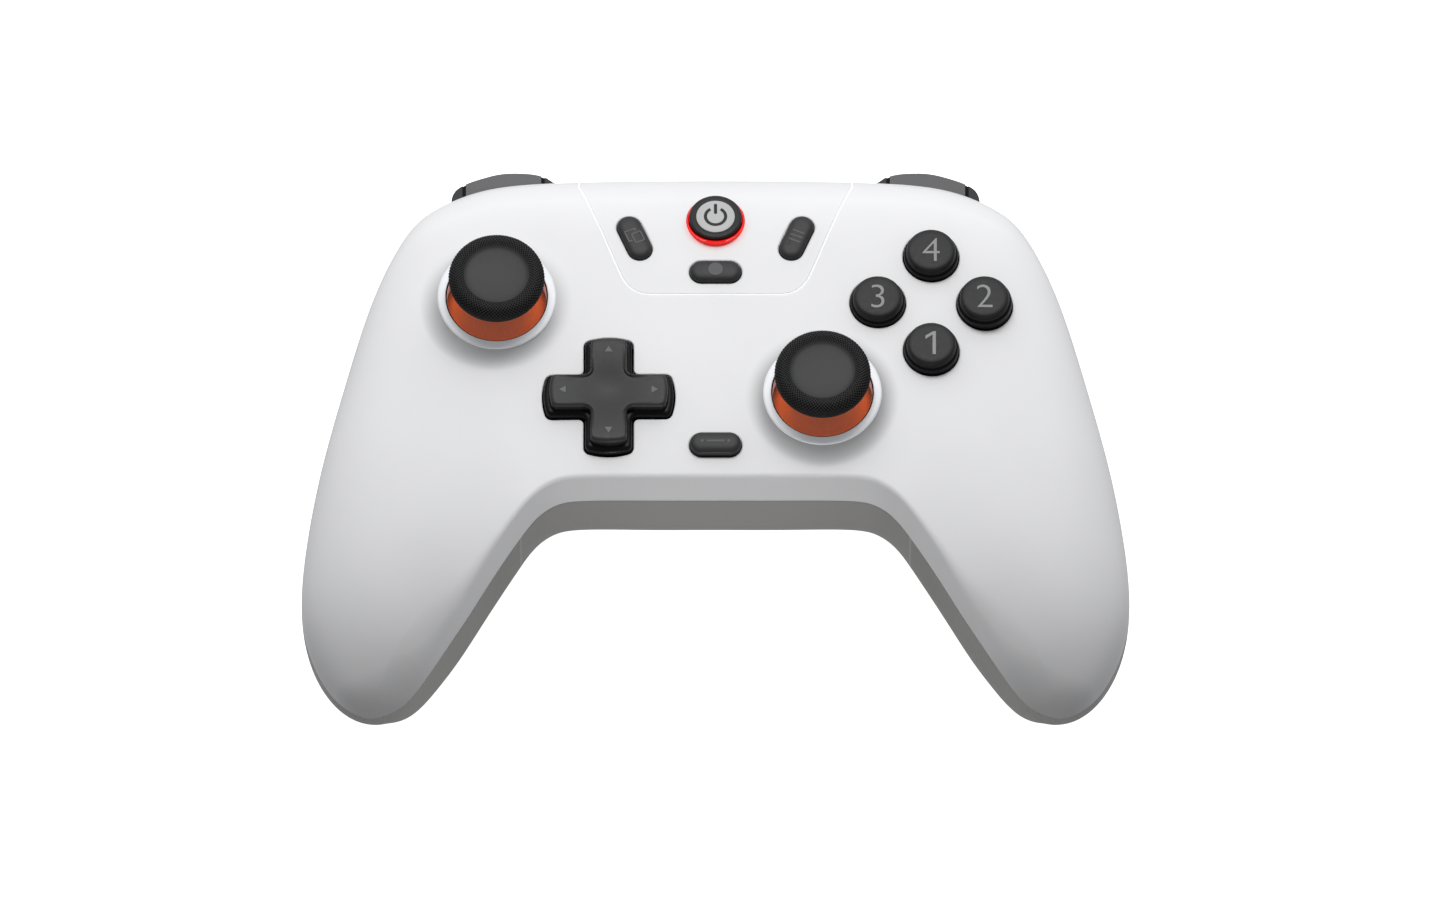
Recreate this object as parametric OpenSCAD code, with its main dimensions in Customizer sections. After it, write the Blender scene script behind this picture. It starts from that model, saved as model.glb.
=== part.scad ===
// Gamepad controller, lying face up.
// +X to the player's right, +Y away from the player, +Z up out of the face.
// Inside the modules z = 0 is the face plane; place() sets the part on its grips.

/* [Shell] */
// Wall thickness of both shells
wall = 2.2; // [1.8:0.1:2.4]
// Gap between the two shells along the seam
seam_gap = 0.12; // [0.1:0.02:0.2]
// Clearance round each button in its hole
button_gap = 0.3; // [0.25:0.05:0.35]

/* [Sticks] */
// Sideways place of the left stick
left_stick_x = -41; // [-42:0.5:-40]
// Place of the left stick along the body
left_stick_y = 21; // [20:0.5:22]
// Radius of the rubber cap
cap_r = 9.1; // [8.6:0.1:9.2]
// Radius of the opening in the ring
ring_in_r = 9.3; // [9.1:0.1:9.5]
// Outer radius of the ring
ring_out_r = 11.1; // [10.9:0.1:11.3]

/* [Buttons] */
// Distance of each round button from the middle of the diamond
diamond_r = 10; // [9.8:0.1:10.4]
// Radius of a round button
button_r = 5.3; // [5:0.1:5.4]
// Height of the round buttons above the face
button_h = 3; // [2.4:0.1:3.2]
// Length of the small centre buttons
pill_l = 9.8; // [9:0.1:10]
// Width of the small centre buttons
pill_w = 4.6; // [4.2:0.1:4.8]
// Span of the cross pad
dpad_span = 22.2; // [21:0.2:22.6]
// Width of an arm of the cross pad
dpad_arm = 6.8; // [6.2:0.1:7]

/* [Triggers] */
// Width of each trigger
trigger_w = 20; // [18:0.5:20]
// Radius of the trigger pins
trigger_pin_r = 1.45; // [1.4:0.01:1.47]

/* [Hidden] */
$fn = 48;

face_z = 46.2;      // height of the face above the surface it rests on
y_mid = 1.0;        // puts the middle of the outline on y = 0
right_stick = [20, 0.5];
left_stick = [left_stick_x, left_stick_y];
dpad_pos = [-20, 0.5];
diamond = [40.4, 20.6];
home_pos = [0, 38.2];
capture_pos = [0, 27.1];
mode_pos = [0, -9.6];
view_pos = [-15.2, 34.4];
menu_pos = [15.2, 34.4];
pill_lean = 23;     // lean of the view and menu buttons

white = [0.93, 0.93, 0.94];
grey = [0.62, 0.61, 0.6];
black = [0.09, 0.09, 0.09];
charcoal = [0.2, 0.2, 0.21];
orange = [0.8, 0.32, 0.04];
steel = [0.72, 0.72, 0.74];
green = [0.06, 0.28, 0.16];

module place() translate([0, -y_mid, face_z]) children();
trig_x = 38.5; trig_y = 41; trig_z = -18;   // trigger pin
bump_x = 28.4; bump_y = 44;                 // bumper pin
module at(p, z = 0) translate([p[0], p[1], z]) children();
module both() { children(); mirror([1, 0, 0]) children(); }
module stadium(l, w) { square([l - w, w], center = true); for (s = [-1, 1]) translate([s * (l - w) / 2, 0]) circle(d = w); }
module rrect(x, y, r) { square([x - 2 * r, y], center = true); square([x, y - 2 * r], center = true);
  for (a = [-1, 1], b = [-1, 1]) translate([a * (x / 2 - r), b * (y / 2 - r)]) circle(r); }

// ---- shell surface -------------------------------------------------------
// Stations run from the middle plane (0) to the grip tip (13). Each station is a
// cross-section between a point on the inner outline and one on the outer outline.
outer_xy = [[0, 50.8], [15, 50.7], [31, 50.3], [43.5, 48.8], [52.5, 45], [58.5, 39], [64.5, 26],
  [69.6, 9], [74, -8], [77, -25], [77, -38], [73.2, -47], [69, -51]];
inner_xy = [[0, -17.8], [12, -17.8], [24, -17.8], [29.5, -18.5], [32.6, -20.3], [35, -22.8], [38, -26.8],
  [42, -32.4], [46, -38], [50, -42.8], [54, -47.2], [57.6, -50.3], [60.8, -51.8]];
tip = [64.8, -52.5, -28.3];
outer_z = [-9, -9, -9, -9, -9.3, -9.8, -11, -13, -15.5, -19, -22.5, -26, -27.7];
inner_z = [-7, -7, -7.1, -7.4, -7.9, -8.6, -9.8, -11.9, -14.8, -18.3, -22.2, -25.8, -27.5];
crease_w = [1.8, 1.8, 1.8, 1.8, 1.8, 1.9, 2, 2, 2, 2, 1.8, 1.4, 0.7, 0];
crease_z = [-0.6, -0.6, -0.7, -0.9, -1.3, -1.8, -3, -5.2, -8.4, -12.6, -17.4, -22.5, -25.8, -28.3];
ridge_z = [0.6, 0.6, 0.4, 0.1, -0.2, -0.6, -1.4, -2.8, -5, -8.6, -13.8, -19.8, -24.3, -28.3];
ridge_s = [0.4, 0.4, 0.4, 0.4, 0.4, 0.4, 0.42, 0.45, 0.48, 0.5, 0.5, 0.5, 0.5, 0.5];
roll_s = [0.26, 0.26, 0.26, 0.26, 0.26, 0.26, 0.27, 0.3, 0.36, 0.45, 0.5, 0.5, 0.5, 0.5];
round_s = [0.12, 0.12, 0.12, 0.12, 0.12, 0.12, 0.14, 0.2, 0.35, 0.6, 0.85, 0.95, 0.95, 0.95];
bottom_z = [-30, -30, -30, -30.8, -32.5, -35.6, -39.4, -42.7, -45.5, -46.08, -43.2, -36.4, -32.6, -28.3];
in_s = [0.147, 0.147, 0.15, 0.15, 0.15, 0.165, 0.195, 0.225, 0.262, 0.295, 0.325, 0.38, 0.43, 0.5];
out_s = [0.147, 0.147, 0.15, 0.16, 0.18, 0.21, 0.28, 0.4, 0.5, 0.5, 0.5, 0.54, 0.54, 0.5];
roll_n = 2.4;

// Smooth curve through a list of values. Both ends are even (mirrored), odd or free.
function sweep_dn(p, s, i, c, d) = i == len(p) - 1 ? [c, d] :
  let (m = 4 - c[i - 1]) sweep_dn(p, s, i + 1, concat(c, [1 / m]), concat(d, [(6 * p[i] - d[i - 1]) / m]));
function sweep_up(cd, i, x) = i < 0 ? x : sweep_up(cd, i - 1, concat([cd[1][i] - cd[0][i] * x[0]], x));
function ctrl(p, odd = false, last = "free") =
  let (n = len(p) - 1,
       cd = sweep_dn(p, odd, 1, [odd ? 0 : 0.5], [odd ? p[0] : 1.5 * p[0]]),
       cl = cd[0][n - 1], dl = cd[1][n - 1],
       xn = last == "even" ? (6 * p[n] - 2 * dl) / (4 - 2 * cl) : p[n],
       x = sweep_up(cd, n - 1, [xn]))
  concat([odd ? -x[1] : x[1]], x, [last == "even" ? x[n - 1] : last == "odd" ? -x[n - 1] : 2 * x[n] - x[n - 1]]);
function ev(c, t) = let (n = len(c) - 3, i = min(max(floor(t), 0), n - 1), f = t - i)
  (pow(1 - f, 3) * c[i] + (3 * f * f * f - 6 * f * f + 4) * c[i + 1]
   + (-3 * f * f * f + 3 * f * f + 3 * f + 1) * c[i + 2] + f * f * f * c[i + 3]) / 6;
function rev(a) = [for (i = [len(a) - 1:-1:0]) a[i]];
function col(a, k) = [for (p = a) p[k]];

loop_x = ctrl(concat(col(outer_xy, 0), [tip[0]], rev(col(inner_xy, 0))), true, "odd");
loop_y = ctrl(concat(col(outer_xy, 1), [tip[1]], rev(col(inner_xy, 1))), false, "even");
loop_z = ctrl(concat(outer_z, [tip[2]], rev(inner_z)), false, "even");
k_cw = ctrl(crease_w); k_cz = ctrl(crease_z); k_rz = ctrl(ridge_z); k_rs = ctrl(ridge_s);
k_as = ctrl(roll_s); k_fs = ctrl(round_s); k_bz = ctrl(bottom_z); k_is = ctrl(in_s); k_os = ctrl(out_s);
function outer(t) = [ev(loop_x, t), ev(loop_y, t), ev(loop_z, t)];
function inner(t) = outer(26 - t);
function xy(p) = [p[0], p[1]];
function lift(q, z) = [q[0], q[1], z];

// Cross-section of the front shell, from the inner seam over the face to the outer seam.
nb = 2; nf = 3; na = 4; nr = 6;
function face_at(c, u, l, o, zr, rs, as, s) =
  let (g = 1 - pow(1 - min(s / rs, 1), 2), z = c[2] + (zr - c[2]) * g, w = max(0, (s - 1 + as) / as))
  lift(xy(c) + u * l * s, z - (z - o[2]) * (1 - pow(max(0, 1 - pow(w, roll_n)), 1 / roll_n)));
function front_section(t) =
  let (o = outer(t), i = inner(t), d = xy(o) - xy(i), w = norm(d), u = d / w, cw = ev(k_cw, t),
       c = lift(xy(i) + u * cw, ev(k_cz, t)), l = w - cw,
       zr = ev(k_rz, t), rs = ev(k_rs, t), as = ev(k_as, t), fs = ev(k_fs, t),
       p1 = c + (i - c) * fs, s2 = min(norm(i - c) * fs / l, 0.6 * (1 - as)),
       p2 = face_at(c, u, l, o, zr, rs, as, s2))
  concat([for (k = [0:nb - 1]) i + (p1 - i) * k / nb],
    [for (k = [0:nf - 1]) let (f = k / nf) (1 - f) * (1 - f) * p1 + 2 * f * (1 - f) * c + f * f * p2],
    [for (k = [0:na - 1]) face_at(c, u, l, o, zr, rs, as, s2 + (1 - as - s2) * k / na)],
    [for (k = [0:nr]) k == nr ? o : face_at(c, u, l, o, zr, rs, as, 1 - as + as * pow(sin(90 * k / nr), 2 / roll_n))]);

// Cross-section of the back shell, from the inner seam under the grip to the outer seam.
n1 = 6; n2 = 3;
function back_section(t) =
  let (o = outer(t) - [0, 0, seam_gap], i = inner(t) - [0, 0, seam_gap], d = xy(o) - xy(i), w = norm(d), u = d / w,
       zb = ev(k_bz, t), ai = ev(k_is, t), ao = ev(k_os, t))
  concat([for (k = [0:n1 - 1]) let (a = 90 * k / n1) lift(xy(i) + u * w * ai * (1 - cos(a)), zb + (i[2] - zb) * (1 - sin(a)))],
    [for (k = [0:n2 - 1]) lift(xy(i) + u * w * (ai + (1 - ao - ai) * k / n2), zb)],
    [for (k = [0:n1]) let (a = 90 * k / n1) k == n1 ? o : lift(xy(i) + u * w * (1 - ao + ao * sin(a)), zb + (o[2] - zb) * (1 - cos(a)))]);

// The same section moved in by the wall thickness.
function inset(p, h) = let (n = len(p) - 1, a = p[0], b = p[n], m = (a + b) / 2, d = xy(b) - xy(a), w = norm(d),
    kx = max(0.15, 1 - 2 * wall / w), kz = max(0.15, 1 - wall / h))
  [for (q = p) let (f = ((xy(q) - xy(a)) * d) / (w * w), zs = a[2] + (b[2] - a[2]) * f)
    lift(xy(m) + (xy(q) - xy(m)) * kx, zs + (q[2] - zs) * kz)];
function mir(s, p) = [for (q = p) [s * q[0], q[1], q[2]]];
half_t = concat([1, 2, 2.5, 3, 3.5, 4, 4.5, 5], [for (k = [5.5:0.5:10]) k], [10.4, 10.8, 11.2, 11.6, 12, 12.35, 12.65, 12.88]);
all_t = concat([for (t = rev(half_t)) -t], [0], half_t);
function in_t(t) = t < 10 ? t : 10 + (t - 10) * 2.1 / 2.88;
function sgn(t) = t < 0 ? -1 : 1;
function front_in(t) = inset(front_section(t), ev(k_rz, t) - (outer(t)[2] + inner(t)[2]) / 2);
function back_in(t) = inset(back_section(t), (outer(t)[2] + inner(t)[2]) / 2 - ev(k_bz, t));

// Closed thin shell from a grid of outside points a and inside points b, each row closing
// on a tip point at both ends.
module thin_shell(a, b, ta, tb) {
  m = len(a); n = len(a[0]); tot = m * n;
  function oi(i, j) = i * n + j;
  function ii(i, j) = tot + i * n + j;
  ol = 2 * tot; orr = ol + 1; il = ol + 2; ir = ol + 3;
  pts = concat([for (r = a, p = r) p], [for (r = b, p = r) p],
    [[-ta[0], ta[1], ta[2]], ta, [-tb[0], tb[1], tb[2]], tb]);
  polyhedron(pts, concat(
    [for (i = [0:m - 2], j = [0:n - 2], k = [0, 1]) k == 0 ? [oi(i, j), oi(i, j + 1), oi(i + 1, j + 1)] : [oi(i, j), oi(i + 1, j + 1), oi(i + 1, j)]],
    [for (i = [0:m - 2], j = [0:n - 2], k = [0, 1]) k == 0 ? [ii(i, j), ii(i + 1, j + 1), ii(i, j + 1)] : [ii(i, j), ii(i + 1, j), ii(i + 1, j + 1)]],
    [for (i = [0:m - 2], k = [0, 1]) k == 0 ? [oi(i, 0), oi(i + 1, 0), ii(i + 1, 0)] : [oi(i, 0), ii(i + 1, 0), ii(i, 0)]],
    [for (i = [0:m - 2], k = [0, 1]) k == 0 ? [oi(i, n - 1), ii(i + 1, n - 1), oi(i + 1, n - 1)] : [oi(i, n - 1), ii(i, n - 1), ii(i + 1, n - 1)]],
    [for (j = [0:n - 2]) [ol, oi(0, j + 1), oi(0, j)]], [for (j = [0:n - 2]) [orr, oi(m - 1, j), oi(m - 1, j + 1)]],
    [for (j = [0:n - 2]) [il, ii(0, j), ii(0, j + 1)]], [for (j = [0:n - 2]) [ir, ii(m - 1, j + 1), ii(m - 1, j)]],
    [[ol, oi(0, 0), ii(0, 0)], [ol, ii(0, 0), il], [ol, ii(0, n - 1), oi(0, n - 1)], [ol, il, ii(0, n - 1)],
     [orr, ii(m - 1, 0), oi(m - 1, 0)], [orr, ir, ii(m - 1, 0)], [orr, oi(m - 1, n - 1), ii(m - 1, n - 1)], [orr, ii(m - 1, n - 1), ir]]));
}
module front_skin() thin_shell([for (t = all_t) mir(sgn(t), front_section(abs(t)))],
  [for (t = all_t) mir(sgn(t), front_in(in_t(abs(t))))], tip, tip + [-1.2, 3.4, 0]);
module back_skin() thin_shell([for (t = all_t) mir(sgn(t), rev(back_section(abs(t))))],
  [for (t = all_t) mir(sgn(t), rev(back_in(in_t(abs(t)))))], tip - [0, 0, seam_gap], tip + [-1.2, 3.4, -seam_gap]);

// ---- openings shared by the shells and what fits them ---------------------
module panel_outline(g) polygon([[-25.4 + g, 60], [-25.4 + g, 47.2], [-17.6 + g, 26.8], [-16.4 + g, 24.6], [-14.2 + g * 0.7, 22.9 + g * 0.7], [-12.4, 22.5 + g],
  [12.4, 22.5 + g], [14.2 - g * 0.7, 22.9 + g * 0.7], [16.4 - g, 24.6], [17.6 - g, 26.8], [25.4 - g, 47.2], [25.4 - g, 60]]);
module cross2d(span, arm, r) { rrect(span, arm, r); rrect(arm, span, r); }
post_xy = [[57.5, 13], [60.5, -37]];
post_z = [-22, -29];      // underside of each screw boss on the front shell
post_top = [-2.5, -12.4]; // where each boss runs into the front shell
post_low = [-31.5, -41];  // where each post runs into the back shell
seat_z = [-26.4, -33.4];  // screw seats
module bumper_plan(g) polygon([[25.6 - g, 40], [25.6 - g, 49.4 + g], [28, 49.7 + g], [30.6, 50.3 + g], [32.9, 51.3 + g], [34.6, 51.8 + g], [37.2, 52 + g], [39.4, 51.95 + g],
  [41.5, 51.6 + g], [43.5, 51 + g], [45.5, 50.3 + g], [47.2, 49.5 + g], [48.7, 48.4 + g], [49.5 + g, 46.9 + g], [49.7 + g, 44], [49.7 + g, 40]]);
module bumper_hole() { translate([25.2, 38, -13.4]) cube([24.9, 20, 8.1]); }
module trigger_hole() translate([trig_x - trigger_w / 2 - 0.4, 31.8, -60]) cube([trigger_w + 0.8, 30, 46.6]);

// ---- casing ---------------------------------------------------------------
module flare(p) at(p) rotate_extrude($fn = 64)
  polygon([[10, -1.6], [16.4, -1.2], [15.6, -0.35], [14.4, 0.12], [13.2, 0.62], [12.2, 1.15], [11.5, 1.55], [10, 1.55]]);
module front_shell() color(white) place() difference() {
  union() {
    front_skin();
    flare(left_stick); flare(right_stick);
    both() for (k = [0, 1]) at(post_xy[k], post_z[k]) cylinder(r = 3.2, h = post_top[k] - post_z[k]);
  }
  for (p = [left_stick, right_stick]) at(p, -20) cylinder(r = 10.4, h = 40, $fn = 64);
  for (a = [0:90:270]) at(diamond + diamond_r * [cos(a), sin(a)], -8) cylinder(r = button_r + button_gap, h = 16);
  at(dpad_pos, -8) linear_extrude(16) cross2d(dpad_span + 3.1, dpad_arm + 2.9, 1.4);
  at(mode_pos, -6.4) linear_extrude(16) stadium(pill_l + 2 * button_gap, pill_w + 2 * button_gap);
  translate([0, 0, -14]) linear_extrude(30) panel_outline(0);
  both() bumper_hole();
  both() for (k = [0, 1]) at(post_xy[k], post_z[k] - 1) cylinder(r = 1.3, h = 8);
}
module centre_panel() color(white) place() difference() {
  intersection() { front_skin(); translate([0, 0, -8.9]) linear_extrude(30) panel_outline(0.18); }
  at(home_pos, -10) cylinder(r = 5.35, h = 20);
  at(capture_pos, -10) linear_extrude(20) stadium(pill_l + 2 * button_gap, pill_w + 2 * button_gap);
  at(view_pos, -10) linear_extrude(20) rotate(90 + pill_lean) stadium(pill_l + 2 * button_gap, pill_w + 2 * button_gap);
  at(menu_pos, -10) linear_extrude(20) rotate(90 - pill_lean) stadium(pill_l + 2 * button_gap, pill_w + 2 * button_gap);
}
usb_z = -17.4;
module back_shell() color(grey) place() difference() {
  union() {
    back_skin();
    both() for (k = [0, 1]) at(post_xy[k], post_low[k]) cylinder(r = 4.2, h = post_z[k] - post_low[k] - 0.1);
    both() motor_saddle();
    for (s = [-1, 1], y = [-6, 24]) translate([s * 30, y, -29]) cylinder(r = 2.6, h = 8.4);
  }
  both() for (k = [0, 1]) { at(post_xy[k], -60) cylinder(r = 1.5, h = 45); at(post_xy[k], -60) cylinder(r = 2.9, h = 60 + seat_z[k]); }
  for (s = [-1, 1], y = [-6, 24]) translate([s * 30, y, -26]) cylinder(r = 0.9, h = 8);
  both() { bumper_hole(); trigger_hole(); }
  translate([0, 40, usb_z]) rotate([-90, 0, 0]) linear_extrude(20) stadium(9.5, 3.8);
  translate([-17, 4, -30.5]) cube([34, 20, 1.1]);
}
module rear_label_plate() color([0.8, 0.8, 0.8]) place() translate([0, 14, -30]) linear_extrude(0.6) rrect(33.6, 19.6, 1.2);
module case_screws() color(steel) place() both() for (k = [0, 1]) at(post_xy[k], seat_z[k]) {
  difference() { translate([0, 0, -2]) cylinder(r = 2.5, h = 2); translate([0, 0, -2.6]) for (a = [0, 90]) rotate(a) cube([3, 0.7, 2.6], center = true); }
  cylinder(r = 1.25, h = 9);
}

// ---- boards, battery, socket ------------------------------------------------
board_z = -20.6;
top_board_z = -8.6;
module main_board() color(green) place() difference() {
  translate([0, 0, board_z]) linear_extrude(1.6) difference() {
    polygon([[-33, -12.4], [33, -12.4], [38, -8], [52, 8], [52, 30], [26, 31], [26, 45.6], [-26, 45.6], [-26, 31], [-52, 30], [-52, 8], [-38, -8]]);
    for (s = [-1, 1], y = [-6, 24]) translate([s * 30, y]) circle(1.2);
  }
}
module board_chips() color(black) place() translate([0, 0, board_z + 1.6]) {
  translate([-5, 8, 0]) cube([10, 10, 1.2]);
  translate([-20, 36, 0]) cube([6, 5, 1]);
  translate([12, 36, 0]) cube([7, 5, 1]);
  translate([34, 2, 0]) cube([5, 6, 1]);
  for (k = [0:4]) translate([-12 + k * 5, 26, 0]) cube([2.2, 1.2, 0.9]);
}
module button_board() color(green) place() difference() {
  translate([0, 0, top_board_z]) linear_extrude(1.2) difference() {
    polygon([[-33, -12.5], [52, -12.5], [53.4, 4], [53.4, 31], [30, 37.5], [23, 44], [-23, 44], [-27, 37], [-27, 14], [-33, 12]]);
    translate(right_stick) circle(12.8);
    translate([right_stick[0] - 6, -20]) square([12, 16]);
    translate(left_stick) circle(12.8);
    translate([36, -30]) square([30, 32]);
    for (p = [[-30, -9], [28, 34], [-24, 34]]) translate(p) circle(1.1);
  }
}
module board_screws() color(steel) place() {
  for (s = [-1, 1], y = [-6, 24]) translate([s * 30, y, 0]) { translate([0, 0, board_z + 1.6]) cylinder(r = 2, h = 1.2); translate([0, 0, -25.4]) cylinder(r = 0.85, h = 7); }
}
module battery_pack() color([0.75, 0.75, 0.78]) place() translate([0, 12, -27.7]) linear_extrude(5.4) rrect(48, 34, 1.6);
module usb_c_socket() color(steel) place() translate([0, 42.6, usb_z]) rotate([-90, 0, 0]) {
  difference() { linear_extrude(6.8) stadium(8.9, 3.2); translate([0, 0, 1]) linear_extrude(10) stadium(8.3, 2.6); }
  translate([-3.3, -0.35, 0.5]) cube([6.6, 0.7, 5.2]);
}

// ---- sticks -----------------------------------------------------------------
pivot_z = -12;
module at_stick(side) place() at(side < 0 ? left_stick : right_stick, pivot_z) children();
module stick_ring(side) color([0.95, 0.95, 0.97]) at_stick(side) rotate_extrude($fn = 96)
  polygon([[ring_in_r, 11.4], [ring_in_r + 0.3, 9.4], [10.3, 9.4], [10.3, 13.6], [ring_out_r, 13.7], [ring_out_r, 13.95], [ring_out_r - 0.25, 14.2],
    [ring_in_r + 0.35, 14.2], [ring_in_r, 13.9]]);
module left_stick_ring() stick_ring(-1);
module right_stick_ring() stick_ring(1);
// Open box that carries the two crossed pivots
module stick_base(side) color([0.3, 0.31, 0.33]) at_stick(side) difference() {
  translate([-7.7, -7.7, -7]) cube([15.4, 15.4, 8.5]);
  translate([-6.6, -6.6, -6]) cube([13.2, 13.2, 10]);
  rotate([0, 90, 0]) translate([0, 0, -10]) cylinder(r = 1.05, h = 20);
  rotate([90, 0, 0]) translate([0, 0, -10]) cylinder(r = 1.05, h = 20);
}
module left_stick_base() stick_base(-1);
module right_stick_base() stick_base(1);
// Lower rocker: turns about X
module stick_arm(side) color([0.85, 0.85, 0.82]) at_stick(side) difference() {
  union() {
    translate([-4.6, -4.3, -1.2]) cube([9.2, 8.6, 2.4]);
    rotate([0, 90, 0]) translate([0, 0, -7.6]) cylinder(r = 1, h = 15.2);
  }
  translate([-3.2, -3.2, -3]) cube([6.4, 6.4, 6]);
  rotate([90, 0, 0]) translate([0, 0, -6]) cylinder(r = 0.85, h = 12);
}
module left_stick_arm() stick_arm(-1);
module right_stick_arm() stick_arm(1);
// Upper arch: turns about Y, its slot lets the shaft lean the other way
module stick_arch(side) color([0.16, 0.16, 0.17]) at_stick(side) difference() {
  union() {
    intersection() {
      rotate([0, 90, 0]) translate([0, 0, -2.7]) difference() { cylinder(r = 6.5, h = 5.4); translate([0, 0, -1]) cylinder(r = 5.1, h = 9); }
      translate([-5, -8, 0]) cube([10, 16, 10]);
    }
    for (s = [-1, 1]) translate([-1.6, s * 5.85 - 0.65, -1.5]) cube([3.2, 1.3, 3]);
    for (s = [-1, 1]) rotate([-s * 90, 0, 0]) translate([0, 0, 5.4]) cylinder(r = 1, h = 2.2);
  }
  translate([-1.75, -3.7, 2]) cube([3.5, 7.4, 8]);
}
module left_stick_arch() stick_arch(-1);
module right_stick_arch() stick_arch(1);
module stick_trunnion(side) color([0.8, 0.8, 0.78]) at_stick(side) difference() {
  union() {
    translate([-2.6, -2.8, -1.6]) cube([5.2, 5.6, 3.4]);
    rotate([90, 0, 0]) translate([0, 0, -4.3]) cylinder(r = 0.8, h = 8.6);
  }
  translate([0, 0, -5]) cylinder(r = 1.55, h = 10);
}
module left_stick_trunnion() stick_trunnion(-1);
module right_stick_trunnion() stick_trunnion(1);
module stick_stem(side) color(orange) at_stick(side) {
  translate([0, 0, -1.5]) cylinder(r = 1.5, h = 12);
  rotate_extrude($fn = 64) polygon(concat(
    [for (a = [66:-6:30]) 12.8 * [sin(a), cos(a)]],
    [[5.5, 11.65], [4.7, 12.3], [4.2, 13.3], [3.9, 14.6], [3.78, 15.8], [3.78, 17.2], [0, 17.2], [0, 9.2], [2.4, 10.2]],
    [for (a = [18:6:66]) 11.6 * [sin(a), cos(a)]]));
}
module left_stick_stem() stick_stem(-1);
module right_stick_stem() stick_stem(1);
module stick_cap(side) color(black) at_stick(side) rotate_extrude($fn = 96)
  polygon([[0, 17.2], [4.4, 17.2], [5.4, 17.7], [6.8, 18.75], [8.3, 19.4], [cap_r - 0.25, 20.1], [cap_r, 20.8], [cap_r - 0.15, 21.8],
    [cap_r - 0.8, 22.8], [cap_r - 1.9, 23.3], [6.6, 23.1], [6, 22.5], [4, 22.1], [0, 21.9]]);
module left_stick_cap() stick_cap(-1);
module right_stick_cap() stick_cap(1);
// Centring springs under the rockers
function coil(r, w, turns, pitch, ns, k) = [for (i = [0:turns * ns]) let (a = 360 * i / ns, z = pitch * i / ns) [for (j = [0:k - 1]) let (b = 360 * j / k)
  [(r + w * cos(b)) * cos(a), (r + w * cos(b)) * sin(a), z + w * sin(b)]]];
module tube(g) { m = len(g); k = len(g[0]);
  polyhedron([for (r = g, p = r) p], concat([[for (j = [0:k - 1]) j]], [[for (j = [k - 1:-1:0]) (m - 1) * k + j]],
    [for (i = [0:m - 2], j = [0:k - 1], h = [0, 1]) let (q = (j + 1) % k) h == 0 ? [i * k + j, (i + 1) * k + q, i * k + q] : [i * k + j, (i + 1) * k + j, (i + 1) * k + q]])); }
module stick_springs() color(steel) for (s = [-1, 1]) at_stick(s) translate([0, 0, -5.7]) tube(coil(2.4, 0.28, 4, 0.75, 14, 6));

// ---- cross pad ----------------------------------------------------------------
dp_z = -2.6;
module at_dpad() place() at(dpad_pos, dp_z) children();
module dpad_fork() color(charcoal) at_dpad() difference() {
  union() {
    translate([-2.6, -4.7, -4.8]) cube([5.2, 9.4, 1.4]);
    for (s = [-1, 1]) translate([-1.6, s * 4.1 - 0.6, -3.6]) cube([3.2, 1.2, 5]);
  }
  rotate([90, 0, 0]) translate([0, 0, -8]) cylinder(r = 0.85, h = 16);
}
module dpad_pivot() color([0.85, 0.85, 0.82]) at_dpad() {
  translate([-2.2, -2.9, -1.1]) cube([4.4, 5.8, 2.2]);
  rotate([90, 0, 0]) translate([0, 0, -4.6]) cylinder(r = 0.8, h = 9.2);
  rotate([0, 90, 0]) translate([0, 0, -4.6]) cylinder(r = 0.8, h = 9.2);
}
module dpad_cross() color(charcoal) at_dpad() difference() {
  union() {
    translate([0, 0, -1.8]) linear_extrude(5.6) cross2d(dpad_span + 2.4, dpad_arm + 2.2, 1.2);
    translate([0, 0, 3.7]) linear_extrude(2.3) cross2d(dpad_span, dpad_arm, 1);
  }
  translate([-2.9, -5.3, -3]) cube([5.8, 10.6, 5.2]);
  translate([-3.4, -3.4, -3]) cube([6.8, 6.8, 5.2]);
  rotate([0, 90, 0]) translate([0, 0, -5]) cylinder(r = 0.85, h = 10);
  translate([0, 0, 27.1]) sphere(r = 21.6, $fn = 64);
}
module dpad_membrane() color([0.75, 0.76, 0.78]) place() at(dpad_pos, top_board_z + 1.2) difference() {
  union() {
    linear_extrude(0.6) rrect(24, 24, 3);
    for (a = [0:90:270]) rotate(a) translate([9, 0, 0.5]) cylinder(r = 2.6, h = 2.2);
  }
  translate([-3.2, -5.4, -1]) cube([6.4, 10.8, 3]);
}

// ---- round buttons --------------------------------------------------------------
module face_button(k) color(charcoal) place() at(diamond + diamond_r * [cos(k * 90), sin(k * 90)]) rotate_extrude($fn = 64)
  polygon([[0, -4.9], [6.1, -4.9], [6.1, -4.2], [button_r, -4.2], [button_r, 1.1], [button_r - 0.3, 1.5], [button_r - 0.75, 1.65], [button_r - 0.95, button_h - 0.7],
    [button_r - 1.3, button_h - 0.3], [2.4, button_h], [0, button_h + 0.05]]);
module button_east() face_button(0);
module button_north() face_button(1);
module button_west() face_button(2);
module button_south() face_button(3);
module face_button_membrane() color([0.75, 0.76, 0.78]) place() at(diamond, top_board_z + 1.2) {
  linear_extrude(0.6) rrect(27, 20, 4);
  for (a = [0:90:270]) rotate(a) translate([diamond_r, 0, 0]) cylinder(r = 3.2, h = 2.3);
  for (a = [90, 270]) rotate(a) translate([diamond_r, 0, 0]) cylinder(r = 3.6, h = 0.6);
}

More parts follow.
